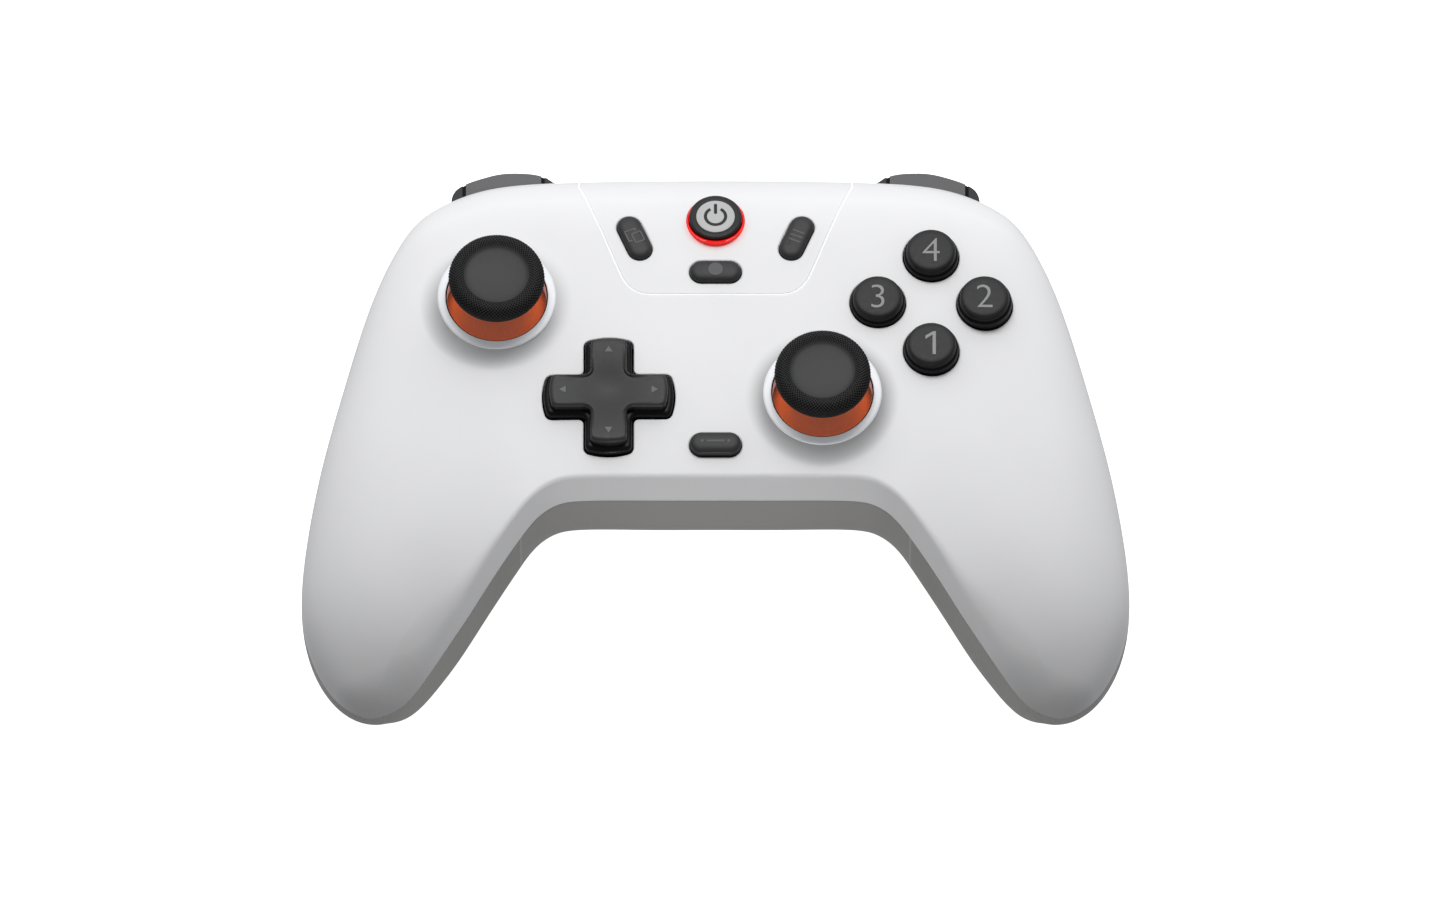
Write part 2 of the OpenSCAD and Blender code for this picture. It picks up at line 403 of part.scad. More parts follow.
// ---- small centre buttons ---------------------------------------------------------
module pill(p, lean, z) color(charcoal) place() at(p, z) rotate(90 + lean) {
  translate([0, 0, -2.9]) linear_extrude(3.7) stadium(pill_l, pill_w);
  translate([0, 0, 0.8]) linear_extrude(0.4) stadium(pill_l - 0.7, pill_w - 0.7);
  translate([0, 0, -4]) linear_extrude(1.2) stadium(pill_l + 1.8, pill_w + 1.8);
  translate([0, 0, -5 - z]) cylinder(r = 1.3, h = 1.4 + z);
}
module view_button() pill(view_pos, pill_lean, 0.3);
module menu_button() pill(menu_pos, -pill_lean, 0.3);
module capture_button() pill(capture_pos, 90, 0.4);
module mode_button() pill(mode_pos, 90, 0.3);
module home_button() color(charcoal) place() at(home_pos) {
  rotate_extrude($fn = 64) polygon([[0, -4.6], [5.55, -4.6], [5.55, -4.1], [4.6, -4.1], [4.6, 0.55], [4.8, 0.7], [4.8, 1.1], [4.5, 1.4], [0, 1.5]]);
  translate([0, 0, -5]) cylinder(r = 1.3, h = 1.4);
}
module home_light_ring() color([0.9, 0.08, 0.05]) place() at(home_pos) rotate_extrude($fn = 64)
  polygon([[4.95, -2.9], [5.25, -2.9], [5.25, 0.62], [4.95, 0.62]]);
module tact_switches() color([0.6, 0.6, 0.62]) place() for (p = [home_pos, capture_pos, mode_pos, view_pos, menu_pos]) at(p, top_board_z + 1.2) {
  translate([-2.2, -2.2, 0]) cube([4.4, 4.4, 1.5]);
  cylinder(r = 1, h = 2.2);
}

// ---- triggers and bumpers -----------------------------------------------------------

// Pocket liner that carries the trigger pin and the bumper pin
module bracket() difference() {
  union() {
    translate([trig_x - trigger_w / 2 - 1.9, 0, 0]) rotate([90, 0, 90]) linear_extrude(1.4)
      polygon([[32, -27.2], [37.4, -27.2], [41.4, -25], [44.4, -21.4], [46, -17], [46.2, -13.5], [32, -13.5]]);
    translate([trig_x + trigger_w / 2 + 0.4, 0, 0]) rotate([90, 0, 90]) linear_extrude(0.9)
      polygon([[32, -27.2], [33.6, -26.6], [36.6, -24.2], [39.8, -21.2], [42.3, -18.4], [42.6, -16], [42.6, -13.5], [32, -13.5]]);
    translate([trig_x - trigger_w / 2 - 1.9, 32, -27.2]) cube([trigger_w + 3.2, 1.3, 13.7]);
    translate([26.6, 41.4, -14.3]) cube([4.2, 5, 0.8]);
  }
  translate([20, trig_y, trig_z]) rotate([0, 90, 0]) cylinder(r = trigger_pin_r + 0.05, h = 40);
  translate([bump_x, bump_y, -20]) cylinder(r = 1.05, h = 20);
}
module left_trigger_bracket() color(charcoal) place() mirror([1, 0, 0]) bracket();
module right_trigger_bracket() color(charcoal) place() bracket();
module trigger_pins() color(steel) place() both() translate([trig_x - trigger_w / 2 - 1.9, trig_y, trig_z]) rotate([0, 90, 0]) cylinder(r = trigger_pin_r, h = trigger_w + 3.1);
module trigger_springs() color(steel) place() both() translate([trig_x - trigger_w / 2 + 1.3, trig_y, trig_z]) rotate([0, 90, 0]) tube(coil(2.4, 0.35, 3, 0.8, 14, 6));
module trigger() difference() {
  translate([trig_x - trigger_w / 2, 0, 0]) rotate([90, 0, 90]) linear_extrude(trigger_w)
    polygon([[43, -14.6], [48.6, -14.6], [50.4, -15.4], [51.5, -17.4], [51.9, -21], [51.6, -26], [50.9, -31], [50.7, -35.5], [51.4, -39], [52.8, -41.4],
      [54.5, -43.3], [54.4, -44.3], [53.4, -45.2], [51, -45.9], [48.4, -46.2], [46.2, -46.2], [45, -45.4], [44.5, -43], [43.7, -38], [42.2, -33], [39.6, -28.6],
      [36.4, -25.2], [35.8, -22], [37.8, -18], [40, -15.4]]);
  translate([20, trig_y, trig_z]) rotate([0, 90, 0]) cylinder(r = trigger_pin_r + 0.05, h = 40);
  translate([trig_x - trigger_w / 2 + 0.9, trig_y, trig_z]) rotate([0, 90, 0]) cylinder(r = 3.1, h = 3.4);
}
module left_trigger() color(charcoal) place() mirror([1, 0, 0]) trigger();
module right_trigger() color(charcoal) place() trigger();
module bumper_pins() color(steel) place() both() translate([bump_x, bump_y, -14.3]) cylinder(r = 1, h = 8.4);
module bumper() difference() {
  union() {
    translate([0, 0, -13]) linear_extrude(7.4) difference() { bumper_plan(0); translate([31, 30]) square([17.2, 16.4]); translate([20, 30]) square([40, 11.6]); }
  }
  translate([bump_x, bump_y, -20]) cylinder(r = 1.05, h = 30);
}
module left_bumper() color(charcoal) place() mirror([1, 0, 0]) bumper();
module right_bumper() color(charcoal) place() bumper();
module bumper_switches() color([0.6, 0.6, 0.62]) place() both() {
  translate([43, 40.4, -12]) cube([4.4, 2.4, 4.4]);
  translate([45.2, 42.6, -9.8]) rotate([-90, 0, 0]) cylinder(r = 1, h = 3.4);
  translate([43, 32, -13.5]) cube([4.4, 9, 1.6]);
}

// ---- rumble ---------------------------------------------------------------------------
motor_x = 57.5; motor_y = -19; motor_z = -25;
module motor_saddle() for (y = [-21.5, -14]) difference() {
  translate([motor_x - 4, y, -42.4 + (y + 21.5) * 0.12]) cube([8, 1.8, 15]);
  translate([motor_x, y - 1, motor_z]) rotate([-90, 0, 0]) cylinder(r = 7.02, h = 5);
}
module motor() translate([motor_x, motor_y, motor_z]) rotate([-90, 0, 0]) { translate([0, 0, -4]) cylinder(r = 7, h = 13); cylinder(r = 0.75, h = 4, center = false); translate([0, 0, -11]) cylinder(r = 0.75, h = 8); }
module left_rumble_motor() color(steel) place() mirror([1, 0, 0]) motor();
module right_rumble_motor() color(steel) place() motor();
module rumble_weight() translate([motor_x, motor_y, motor_z]) rotate([-90, 0, 0]) translate([0, 0, -10.4]) difference() {
  intersection() { cylinder(r = 8, h = 5.6); union() { translate([-10, 0, -1]) cube([20, 10, 10]); cylinder(r = 2.2, h = 9); } }
  translate([0, 0, -1]) cylinder(r = 0.8, h = 9);
}
module left_rumble_weight() color([0.5, 0.48, 0.42]) place() mirror([1, 0, 0]) rumble_weight();
module right_rumble_weight() color([0.5, 0.48, 0.42]) place() rumble_weight();

front_shell();
centre_panel();
back_shell();
rear_label_plate();
case_screws();
main_board();
board_chips();
button_board();
board_screws();
battery_pack();
usb_c_socket();
left_stick_ring();
right_stick_ring();
left_stick_base();
right_stick_base();
stick_springs();
left_stick_arm();
right_stick_arm();
left_stick_arch();
right_stick_arch();
left_stick_trunnion();
right_stick_trunnion();
left_stick_stem();
right_stick_stem();
left_stick_cap();
right_stick_cap();
dpad_fork();
dpad_pivot();
dpad_cross();
dpad_membrane();
face_button_membrane();
button_south();
button_east();
button_west();
button_north();
tact_switches();
home_light_ring();
home_button();
view_button();
menu_button();
capture_button();
mode_button();
left_trigger_bracket();
right_trigger_bracket();
trigger_pins();
trigger_springs();
left_trigger();
right_trigger();
bumper_pins();
bumper_switches();
left_bumper();
right_bumper();
left_rumble_motor();
right_rumble_motor();
left_rumble_weight();
right_rumble_weight();
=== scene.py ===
import math

import bpy
import bmesh
import numpy as np
from mathutils import Vector, Matrix
from mathutils.bvhtree import BVHTree
from mathutils.geometry import delaunay_2d_cdt

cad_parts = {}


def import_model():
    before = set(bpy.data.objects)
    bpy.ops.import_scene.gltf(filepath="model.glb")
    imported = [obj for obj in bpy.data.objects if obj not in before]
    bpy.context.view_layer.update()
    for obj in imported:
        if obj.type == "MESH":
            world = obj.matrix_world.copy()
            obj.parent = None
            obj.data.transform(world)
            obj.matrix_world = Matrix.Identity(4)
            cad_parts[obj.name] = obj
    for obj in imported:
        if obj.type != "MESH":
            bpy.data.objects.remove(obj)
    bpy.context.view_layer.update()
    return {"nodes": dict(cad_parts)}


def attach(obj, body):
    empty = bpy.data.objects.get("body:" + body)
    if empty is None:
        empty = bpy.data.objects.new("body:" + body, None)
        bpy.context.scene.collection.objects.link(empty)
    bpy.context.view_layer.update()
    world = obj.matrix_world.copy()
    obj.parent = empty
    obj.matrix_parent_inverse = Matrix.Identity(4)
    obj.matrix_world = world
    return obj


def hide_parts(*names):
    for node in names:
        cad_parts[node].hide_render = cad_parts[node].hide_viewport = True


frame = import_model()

scene = bpy.context.scene
NODES = frame["nodes"]
Y_MID, FACE_Z = 1.0, 46.2  # the face frame of the part, in mm


def world(p):
    return (np.asarray(p, float).reshape(-1, 3) + np.array([0, -Y_MID, FACE_Z])) * 0.001


# ------------------------------------------------------------------ materials
def mat_new(name):
    m = bpy.data.materials.new(name)
    m.use_nodes = True
    nt = m.node_tree
    return m, nt, nt.nodes["Principled BSDF"]


def noise(nt, scale, detail=2.0, rough=0.5, coord=None):
    tc = nt.nodes.new("ShaderNodeTexCoord")
    n = nt.nodes.new("ShaderNodeTexNoise")
    n.inputs["Scale"].default_value = scale
    n.inputs["Detail"].default_value = detail
    n.inputs["Roughness"].default_value = rough
    nt.links.new(tc.outputs["Object"], n.inputs["Vector"])
    return n


def ramp(nt, src, lo, hi, a, b):
    r = nt.nodes.new("ShaderNodeMapRange")
    r.inputs["From Min"].default_value = lo
    r.inputs["From Max"].default_value = hi
    r.inputs["To Min"].default_value = a
    r.inputs["To Max"].default_value = b
    nt.links.new(src, r.inputs["Value"])
    return r.outputs["Result"]


def math_node(nt, op, a, b=None, clamp=False):
    n = nt.nodes.new("ShaderNodeMath")
    n.operation = op
    n.use_clamp = clamp
    for k, v in enumerate((a, b)):
        if v is None:
            continue
        if isinstance(v, (int, float)):
            n.inputs[k].default_value = v
        else:
            nt.links.new(v, n.inputs[k])
    return n.outputs[0]


def mixcol(nt, fac, a, b):
    n = nt.nodes.new("ShaderNodeMix")
    n.data_type = "RGBA"
    for sock, v in (("A", a), ("B", b)):
        s = [i for i in n.inputs if i.name == sock and i.type == "RGBA"][0]
        if isinstance(v, (tuple, list)):
            s.default_value = (*v, 1)
        else:
            nt.links.new(v, s)
    f = [i for i in n.inputs if i.name == "Factor" and i.type == "VALUE"][0]
    nt.links.new(fac, f)
    return [o for o in n.outputs if o.type == "RGBA"][0]


def bump(nt, height, strength, dist, chain=None):
    b = nt.nodes.new("ShaderNodeBump")
    b.inputs["Strength"].default_value = strength
    b.inputs["Distance"].default_value = dist
    nt.links.new(height, b.inputs["Height"])
    if chain is not None:
        nt.links.new(chain, b.inputs["Normal"])
    return b.outputs["Normal"]


def lin(h):
    c = [int(h[i:i + 2], 16) / 255 for i in (1, 3, 5)]
    return tuple(x / 12.92 if x <= 0.04045 else ((x + 0.055) / 1.055) ** 2.4 for x in c)


def plastic(name, hexcol, rough=0.4, spread=0.06, tone=0.035, grain=2600, depth=2e-5, strength=0.25,
            spec=0.5, coat=0.0, coat_rough=0.2, metallic=0.0, mottle=55):
    m, nt, p = mat_new(name)
    c = lin(hexcol)
    big = noise(nt, mottle, 3.0, 0.55)
    fine = noise(nt, grain, 2.0, 0.6)
    col = mixcol(nt, ramp(nt, big.outputs["Fac"], 0.3, 0.7, 0, 1), tuple(x * (1 - tone) for x in c),
                 tuple(min(1, x * (1 + tone)) for x in c))
    nt.links.new(col, p.inputs["Base Color"])
    nt.links.new(ramp(nt, fine.outputs["Fac"], 0.25, 0.75, rough - spread, rough + spread), p.inputs["Roughness"])
    nt.links.new(bump(nt, fine.outputs["Fac"], strength, depth), p.inputs["Normal"])
    p.inputs["Specular IOR Level"].default_value = spec
    p.inputs["Metallic"].default_value = metallic
    if coat:
        p.inputs["Coat Weight"].default_value = coat
        p.inputs["Coat Roughness"].default_value = coat_rough
    return m


M = {}


def shell_white():
    """White casing plastic, with painted shade: darker in the hollow sweep round each stick, on faces leaning back and
    on forward-facing faces towards the grips.
    """
    m, nt, p = mat_new("shell_white")
    c = lin("#f4f4f5")
    big, fine = noise(nt, 55, 3.0), noise(nt, 3200, 2.0)
    col = mixcol(nt, ramp(nt, big.outputs["Fac"], 0.3, 0.7, 0, 1), tuple(x * 0.988 for x in c), tuple(min(1, x * 1.012) for x in c))
    tc = nt.nodes.new("ShaderNodeTexCoord")
    flat = nt.nodes.new("ShaderNodeVectorMath")
    flat.operation = "MULTIPLY"
    nt.links.new(tc.outputs["Object"], flat.inputs[0])
    flat.inputs[1].default_value = (1, 1, 0)
    # painted shade round each stick: the casing darkens within about 14.6 mm of the stick's axis
    for (x, y), stick_shade_depth in (((-41, 21), 0.24), ((20, 0.5), 0.42)):
        d = nt.nodes.new("ShaderNodeVectorMath")
        d.operation = "DISTANCE"
        nt.links.new(flat.outputs["Vector"], d.inputs[0])
        d.inputs[1].default_value = (x / 1000, (y - Y_MID) / 1000, 0)
        near = math_node(nt, "POWER", ramp(nt, d.outputs["Value"], 0.0115, 0.0146, 1, 0), 1.4)
        col = mixcol(nt, math_node(nt, "MULTIPLY", near, stick_shade_depth), col, (0, 0, 0))
    nrm, pos = nt.nodes.new("ShaderNodeSeparateXYZ"), nt.nodes.new("ShaderNodeSeparateXYZ")
    nt.links.new(tc.outputs["Normal"], nrm.inputs[0])
    nt.links.new(tc.outputs["Object"], pos.inputs[0])
    # painted shade: faces leaning back towards the light are darkened by up to 20%
    col = mixcol(nt, ramp(nt, nrm.outputs["Y"], 0.3, 0.75, 0, 0.2), col, (0, 0, 0))
    # painted shade: forward-facing faces past |x| of about 38 mm are darkened by up to 26%
    side = ramp(nt, math_node(nt, "MULTIPLY", pos.outputs["X"], pos.outputs["X"]), 0.00144, 0.00212, 0, 1)
    col = mixcol(nt, math_node(nt, "MULTIPLY", side, ramp(nt, nrm.outputs["Y"], -0.94, -0.76, 0.26, 0)), col, (0, 0, 0))
    nt.links.new(col, p.inputs["Base Color"])
    nt.links.new(ramp(nt, fine.outputs["Fac"], 0.25, 0.75, 0.44, 0.56), p.inputs["Roughness"])
    nt.links.new(bump(nt, fine.outputs["Fac"], 0.18, 1.5e-5), p.inputs["Normal"])
    p.inputs["Specular IOR Level"].default_value = 0.4
    return m


M["white"] = shell_white()
M["ring"] = plastic("ring_white", "#f0f2f6", rough=0.34, tone=0.012, grain=3200, depth=1e-5, strength=0.12, spec=0.5)
# painted light: a faint white emission lifts the ring, most of all its shaded lower part
M["ring"].node_tree.nodes["Principled BSDF"].inputs["Emission Color"].default_value = (0.97, 0.98, 1, 1)
M["ring"].node_tree.nodes["Principled BSDF"].inputs["Emission Strength"].default_value = 0.07
M["button"] = plastic("button_charcoal", "#272728", rough=0.45, tone=0.05, grain=3000, depth=2e-5, strength=0.3, spec=0.22)
M["pill"] = plastic("small_button_charcoal", "#333334", rough=0.45, tone=0.05, grain=3000, depth=2e-5, strength=0.3, spec=0.25)
M["button_side"] = plastic("button_side_painted_shade", "#0b0b0c", rough=0.4, tone=0.05, grain=2500, depth=1e-5, strength=0.15, spec=0.14)
M["dpad"] = plastic("dpad_charcoal", "#353536", rough=0.42, tone=0.05, grain=3000, depth=2e-5, strength=0.3, spec=0.22)
M["gloss"] = plastic("gloss_black_painted_shade", "#0d0d0e", rough=0.3, tone=0.08, grain=1800, depth=5e-6, strength=0.08, spec=0.14)
# painted shade: flat black for the shadow in gaps, on the ring's inner lip and on the bumper core seen through the
# bumper's gaps
M["gap"] = plastic("gap_black_painted_shade", "#0b0b0c", rough=0.7, tone=0.1, grain=1500, depth=3e-5, strength=0.3, spec=0.15)
M["dark"] = plastic("bracket_dark", "#2c2c2e", rough=0.5, tone=0.06, grain=1500, depth=4e-5, strength=0.3)

M["bumper"] = plastic("bumper_grey", "#6c6c6d", rough=0.6, tone=0.05, grain=2600, depth=2e-5, strength=0.2, spec=0.14)
M["bumper_end"] = plastic("bumper_end_painted_shade", "#434345", rough=0.55, tone=0.08, grain=2600, depth=2e-5, strength=0.2, spec=0.1)
M["rubber"] = plastic("cap_rubber_rim", "#090909", rough=0.75, tone=0.12, grain=1500, depth=3e-5, strength=0.3, spec=0.1)
M["rubber_tip"] = plastic("cap_rubber_points_painted_highlight", "#303031", rough=0.6, tone=0.08, grain=1500, depth=3e-5, strength=0.3, spec=0.2)
M["rubber_top"] = plastic("cap_rubber_top", "#313132", rough=0.5, tone=0.05, grain=3500, depth=2e-5, strength=0.3, spec=0.3)
M["orange"] = plastic("stem_orange", "#f26a12", rough=0.24, tone=0.02, grain=1800, depth=2e-6, strength=0.05, spec=0.6)
# painted light: a faint orange emission stands in for light bounced on to the stem
M["orange"].node_tree.nodes["Principled BSDF"].inputs["Emission Color"].default_value = (1.0, 0.5, 0.4, 1)
M["orange"].node_tree.nodes["Principled BSDF"].inputs["Emission Strength"].default_value = 0.045
M["glyph"] = plastic("print_grey", "#8e8e8e", rough=0.5, tone=0.05, grain=3500, depth=1e-5, strength=0.1)
M["glyph_dim"] = plastic("print_dim_grey", "#58585a", rough=0.5, tone=0.05, grain=3500, depth=1e-5, strength=0.1, spec=0.3)
M["glyph_pad"] = plastic("print_pad_grey", "#69696a", rough=0.5, tone=0.05, grain=3500, depth=1e-5, strength=0.1, spec=0.3)
M["glyph_light"] = plastic("print_light_grey", "#bdbdbd", rough=0.45, tone=0.03, grain=3500, depth=1e-5, strength=0.1)
M["steel"] = plastic("steel_turned", "#c4c4c8", rough=0.28, tone=0.08, grain=1200, depth=8e-6, strength=0.3, metallic=1.0)
M["board"] = plastic("board_green", "#0e4a2b", rough=0.38, tone=0.2, grain=900, depth=2e-5, strength=0.3, mottle=420)
M["chip"] = plastic("chip_epoxy", "#191a1b", rough=0.6, tone=0.1, grain=2200, depth=2e-5, strength=0.4)
M["battery"] = plastic("battery_wrap", "#b9bac0", rough=0.3, tone=0.06, grain=600, depth=3e-5, strength=0.3, metallic=0.6)
M["membrane"] = plastic("silicone_grey", "#b6b8bd", rough=0.6, tone=0.04, grain=1800, depth=2e-5, strength=0.3)
M["nylon"] = plastic("nylon_natural", "#dcdbd2", rough=0.5, tone=0.05, grain=1500, depth=2e-5, strength=0.25)
M["weight"] = plastic("sintered_tungsten", "#7d776a", rough=0.45, tone=0.12, grain=1400, depth=3e-5, strength=0.4, metallic=0.9)
M["label"] = plastic("label_polycarbonate", "#c9c9ca", rough=0.36, tone=0.02, grain=2600, depth=1e-5, strength=0.2)


def grey_shell():
    """Grey casing plastic; the grips past x = 36.4 mm carry a fine cut pattern of small diamonds."""
    m, nt, p = mat_new("shell_grey")
    c = lin("#acaba9")
    big, fine = noise(nt, 60, 3.0), noise(nt, 2800, 2.0)
    tc = nt.nodes.new("ShaderNodeTexCoord")
    sep = nt.nodes.new("ShaderNodeSeparateXYZ")
    nt.links.new(tc.outputs["Object"], sep.inputs[0])
    ax = math_node(nt, "ABSOLUTE", sep.outputs["X"])
    edge = ramp(nt, ax, 0.0363, 0.0365, 0, 1)
    far = ramp(nt, sep.outputs["Y"], 0.006, 0.010, 1, 0)
    mask = math_node(nt, "MULTIPLY", edge, far)
    u = math_node(nt, "ADD", math_node(nt, "MULTIPLY", ax, 7600), math_node(nt, "MULTIPLY", sep.outputs["Z"], 2600))
    v = math_node(nt, "SUBTRACT", math_node(nt, "MULTIPLY", ax, 3000), math_node(nt, "MULTIPLY", sep.outputs["Y"], 5200))
    lines = math_node(nt, "ADD", math_node(nt, "MULTIPLY", math_node(nt, "SINE", u), 0.7), math_node(nt, "MULTIPLY", math_node(nt, "SINE", v), 0.3))
    cut = math_node(nt, "MULTIPLY", lines, mask)
    line = math_node(nt, "MULTIPLY", ramp(nt, math_node(nt, "ABSOLUTE", math_node(nt, "SUBTRACT", ax, 0.0364)), 0.00005, 0.00022, 1, 0), far)
    col = mixcol(nt, ramp(nt, big.outputs["Fac"], 0.3, 0.7, 0, 1), tuple(x * 0.98 for x in c), tuple(x * 1.02 for x in c))
    # painted shade: the sunk lines of the cut pattern are darker
    col = mixcol(nt, ramp(nt, cut, -1, 1, 0, 1), tuple(x * 0.9 for x in c), col)
    # painted highlight: a thin lighter line along the pattern's edge at |x| = 36.4 mm
    col = mixcol(nt, line, col, tuple(x * 1.25 for x in c))
    nt.links.new(col, p.inputs["Base Color"])
    nt.links.new(math_node(nt, "ADD", ramp(nt, fine.outputs["Fac"], 0.25, 0.75, 0.44, 0.54), math_node(nt, "MULTIPLY", mask, 0.08)), p.inputs["Roughness"])
    n1 = bump(nt, fine.outputs["Fac"], 0.18, 1.5e-5)
    nt.links.new(bump(nt, cut, 0.5, 6e-5, n1), p.inputs["Normal"])
    p.inputs["Specular IOR Level"].default_value = 0.4
    return m


M["grey"] = grey_shell()


def trigger_plastic():
    """Charcoal trigger plastic with a fine field of raised dots."""
    m, nt, p = mat_new("trigger_charcoal")
    c = lin("#3a3a3c")
    big, fine = noise(nt, 55, 3.0), noise(nt, 2400, 2.0)
    tc = nt.nodes.new("ShaderNodeTexCoord")
    sep = nt.nodes.new("ShaderNodeSeparateXYZ")
    nt.links.new(tc.outputs["Object"], sep.inputs[0])
    a = math_node(nt, "SINE", math_node(nt, "MULTIPLY", math_node(nt, "ADD", sep.outputs["X"], sep.outputs["Z"]), 5600))
    b = math_node(nt, "SINE", math_node(nt, "MULTIPLY", math_node(nt, "SUBTRACT", sep.outputs["X"], sep.outputs["Z"]), 5600))
    dots = math_node(nt, "MULTIPLY", math_node(nt, "MULTIPLY", a, b), ramp(nt, sep.outputs["Y"], 0.0455, 0.047, 0, 1))
    col = mixcol(nt, ramp(nt, big.outputs["Fac"], 0.3, 0.7, 0, 1), tuple(x * 0.95 for x in c), tuple(x * 1.05 for x in c))
    # painted shade: the low ground between the raised dots is darker
    col = mixcol(nt, ramp(nt, dots, -1, 1, 0, 1), tuple(x * 0.8 for x in c), col)
    nt.links.new(col, p.inputs["Base Color"])
    nt.links.new(ramp(nt, fine.outputs["Fac"], 0.25, 0.75, 0.42, 0.54), p.inputs["Roughness"])
    nt.links.new(bump(nt, dots, 0.4, 5e-5, bump(nt, fine.outputs["Fac"], 0.3, 2e-5)), p.inputs["Normal"])
    p.inputs["Specular IOR Level"].default_value = 0.35
    return m


M["trigger"] = trigger_plastic()


def panel_white():
    """White panel plastic with a painted red glow round the home button, standing in for the ring's light, and painted
    shade on faces leaning back.
    """
    m, nt, p = mat_new("panel_white")
    c = lin("#f4f4f5")
    big, fine = noise(nt, 55, 3.0), noise(nt, 3200, 2.0)
    col = mixcol(nt, ramp(nt, big.outputs["Fac"], 0.3, 0.7, 0, 1), tuple(x * 0.988 for x in c), tuple(min(1, x * 1.012) for x in c))
    tc = nt.nodes.new("ShaderNodeTexCoord")
    d = nt.nodes.new("ShaderNodeVectorMath")
    d.operation = "DISTANCE"
    nt.links.new(tc.outputs["Object"], d.inputs[0])
    d.inputs[1].default_value = (0, (38.5 - Y_MID) / 1000, (FACE_Z + 0.3) / 1000)
    # painted light: the red ring's glow painted into the panel's colour, on the near side of the home button
    painted_glow = math_node(nt, "POWER", ramp(nt, d.outputs["Value"], 0.0054, 0.0070, 1, 0), 1.5)
    sep = nt.nodes.new("ShaderNodeSeparateXYZ")
    nt.links.new(tc.outputs["Object"], sep.inputs[0])
    painted_glow = math_node(nt, "MULTIPLY", painted_glow, ramp(nt, sep.outputs["Y"], (34.0 - Y_MID) / 1000, (39.0 - Y_MID) / 1000, 0.55, 0))
    nrm = nt.nodes.new("ShaderNodeSeparateXYZ")
    nt.links.new(tc.outputs["Normal"], nrm.inputs[0])
    # painted shade: faces leaning back towards the light are darkened by up to 20%
    col = mixcol(nt, ramp(nt, nrm.outputs["Y"], 0.3, 0.75, 0, 0.2), col, (0, 0, 0))
    nt.links.new(mixcol(nt, painted_glow, col, lin("#ff3a2a")), p.inputs["Base Color"])
    nt.links.new(ramp(nt, fine.outputs["Fac"], 0.25, 0.75, 0.44, 0.56), p.inputs["Roughness"])
    nt.links.new(bump(nt, fine.outputs["Fac"], 0.18, 1.5e-5), p.inputs["Normal"])
    p.inputs["Specular IOR Level"].default_value = 0.4
    return m


M["panel"] = panel_white()


def light_ring():
    m, nt, p = mat_new("light_pipe_red")
    n = noise(nt, 700, 2.0)
    col = mixcol(nt, ramp(nt, n.outputs["Fac"], 0.3, 0.7, 0, 1), lin("#d01212"), lin("#e81a18"))
    nt.links.new(col, p.inputs["Base Color"])
    nt.links.new(col, p.inputs["Emission Color"])
    p.inputs["Emission Strength"].default_value = 0.5
    p.inputs["Roughness"].default_value = 0.25
    return m


M["light"] = light_ring()
M["bead"] = plastic("joint_painted_highlight", "#fbfbfc", rough=0.3, tone=0.01, grain=3200, depth=1e-5, strength=0.1, spec=0.5)
M["bead"].node_tree.nodes["Principled BSDF"].inputs["Emission Color"].default_value = (1, 1, 1, 1)


def paint_light_on_ends(m):
    """Makes a plastic a little lighter towards the ends of the grips: painted light."""
    nt = m.node_tree
    p = nt.nodes["Principled BSDF"]
    col = p.inputs["Base Color"].links[0].from_socket
    tc, sep, up = (nt.nodes.new("ShaderNode" + k) for k in ("TexCoord", "SeparateXYZ", "VectorMath"))
    nt.links.new(tc.outputs["Object"], sep.inputs[0])
    up.operation = "MULTIPLY"
    nt.links.new(col, up.inputs[0])
    up.inputs[1].default_value = (1.4, 1.4, 1.4)
    far = ramp(nt, math_node(nt, "MULTIPLY", sep.outputs["X"], sep.outputs["X"]), 0.0016, 0.0031, 0, 1)
    nt.links.new(mixcol(nt, far, col, up.outputs["Vector"]), p.inputs["Base Color"])


paint_light_on_ends(M["grey"])
# painted highlight: strength of the joint bead's white emission
M["bead"].node_tree.nodes["Principled BSDF"].inputs["Emission Strength"].default_value = 0.1


def finish_mesh(me, smooth):
    bm = bmesh.new()
    bm.from_mesh(me)
    bmesh.ops.remove_doubles(bm, verts=bm.verts, dist=1e-8)
    bmesh.ops.recalc_face_normals(bm, faces=bm.faces)
    bm.to_mesh(me)
    bm.free()
    me.shade_smooth()
    me.set_sharp_from_angle(angle=math.radians(smooth))


def make(name, verts, faces, mats, body, replaces=(), smooth=38, face_mat=None):
    me = bpy.data.meshes.new(name)
    me.from_pydata(world(verts).tolist(), [], faces)
    mats = [mats] if isinstance(mats, str) else list(mats)
    for m in mats:
        me.materials.append(M[m])
    if face_mat is not None:
        me.polygons.foreach_set("material_index", np.asarray(face_mat, np.int32))
    finish_mesh(me, smooth)
    ob = bpy.data.objects.new(name, me)
    scene.collection.objects.link(ob)
    if body:
        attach(ob, body)
        if replaces:
            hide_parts(*replaces)
    return ob


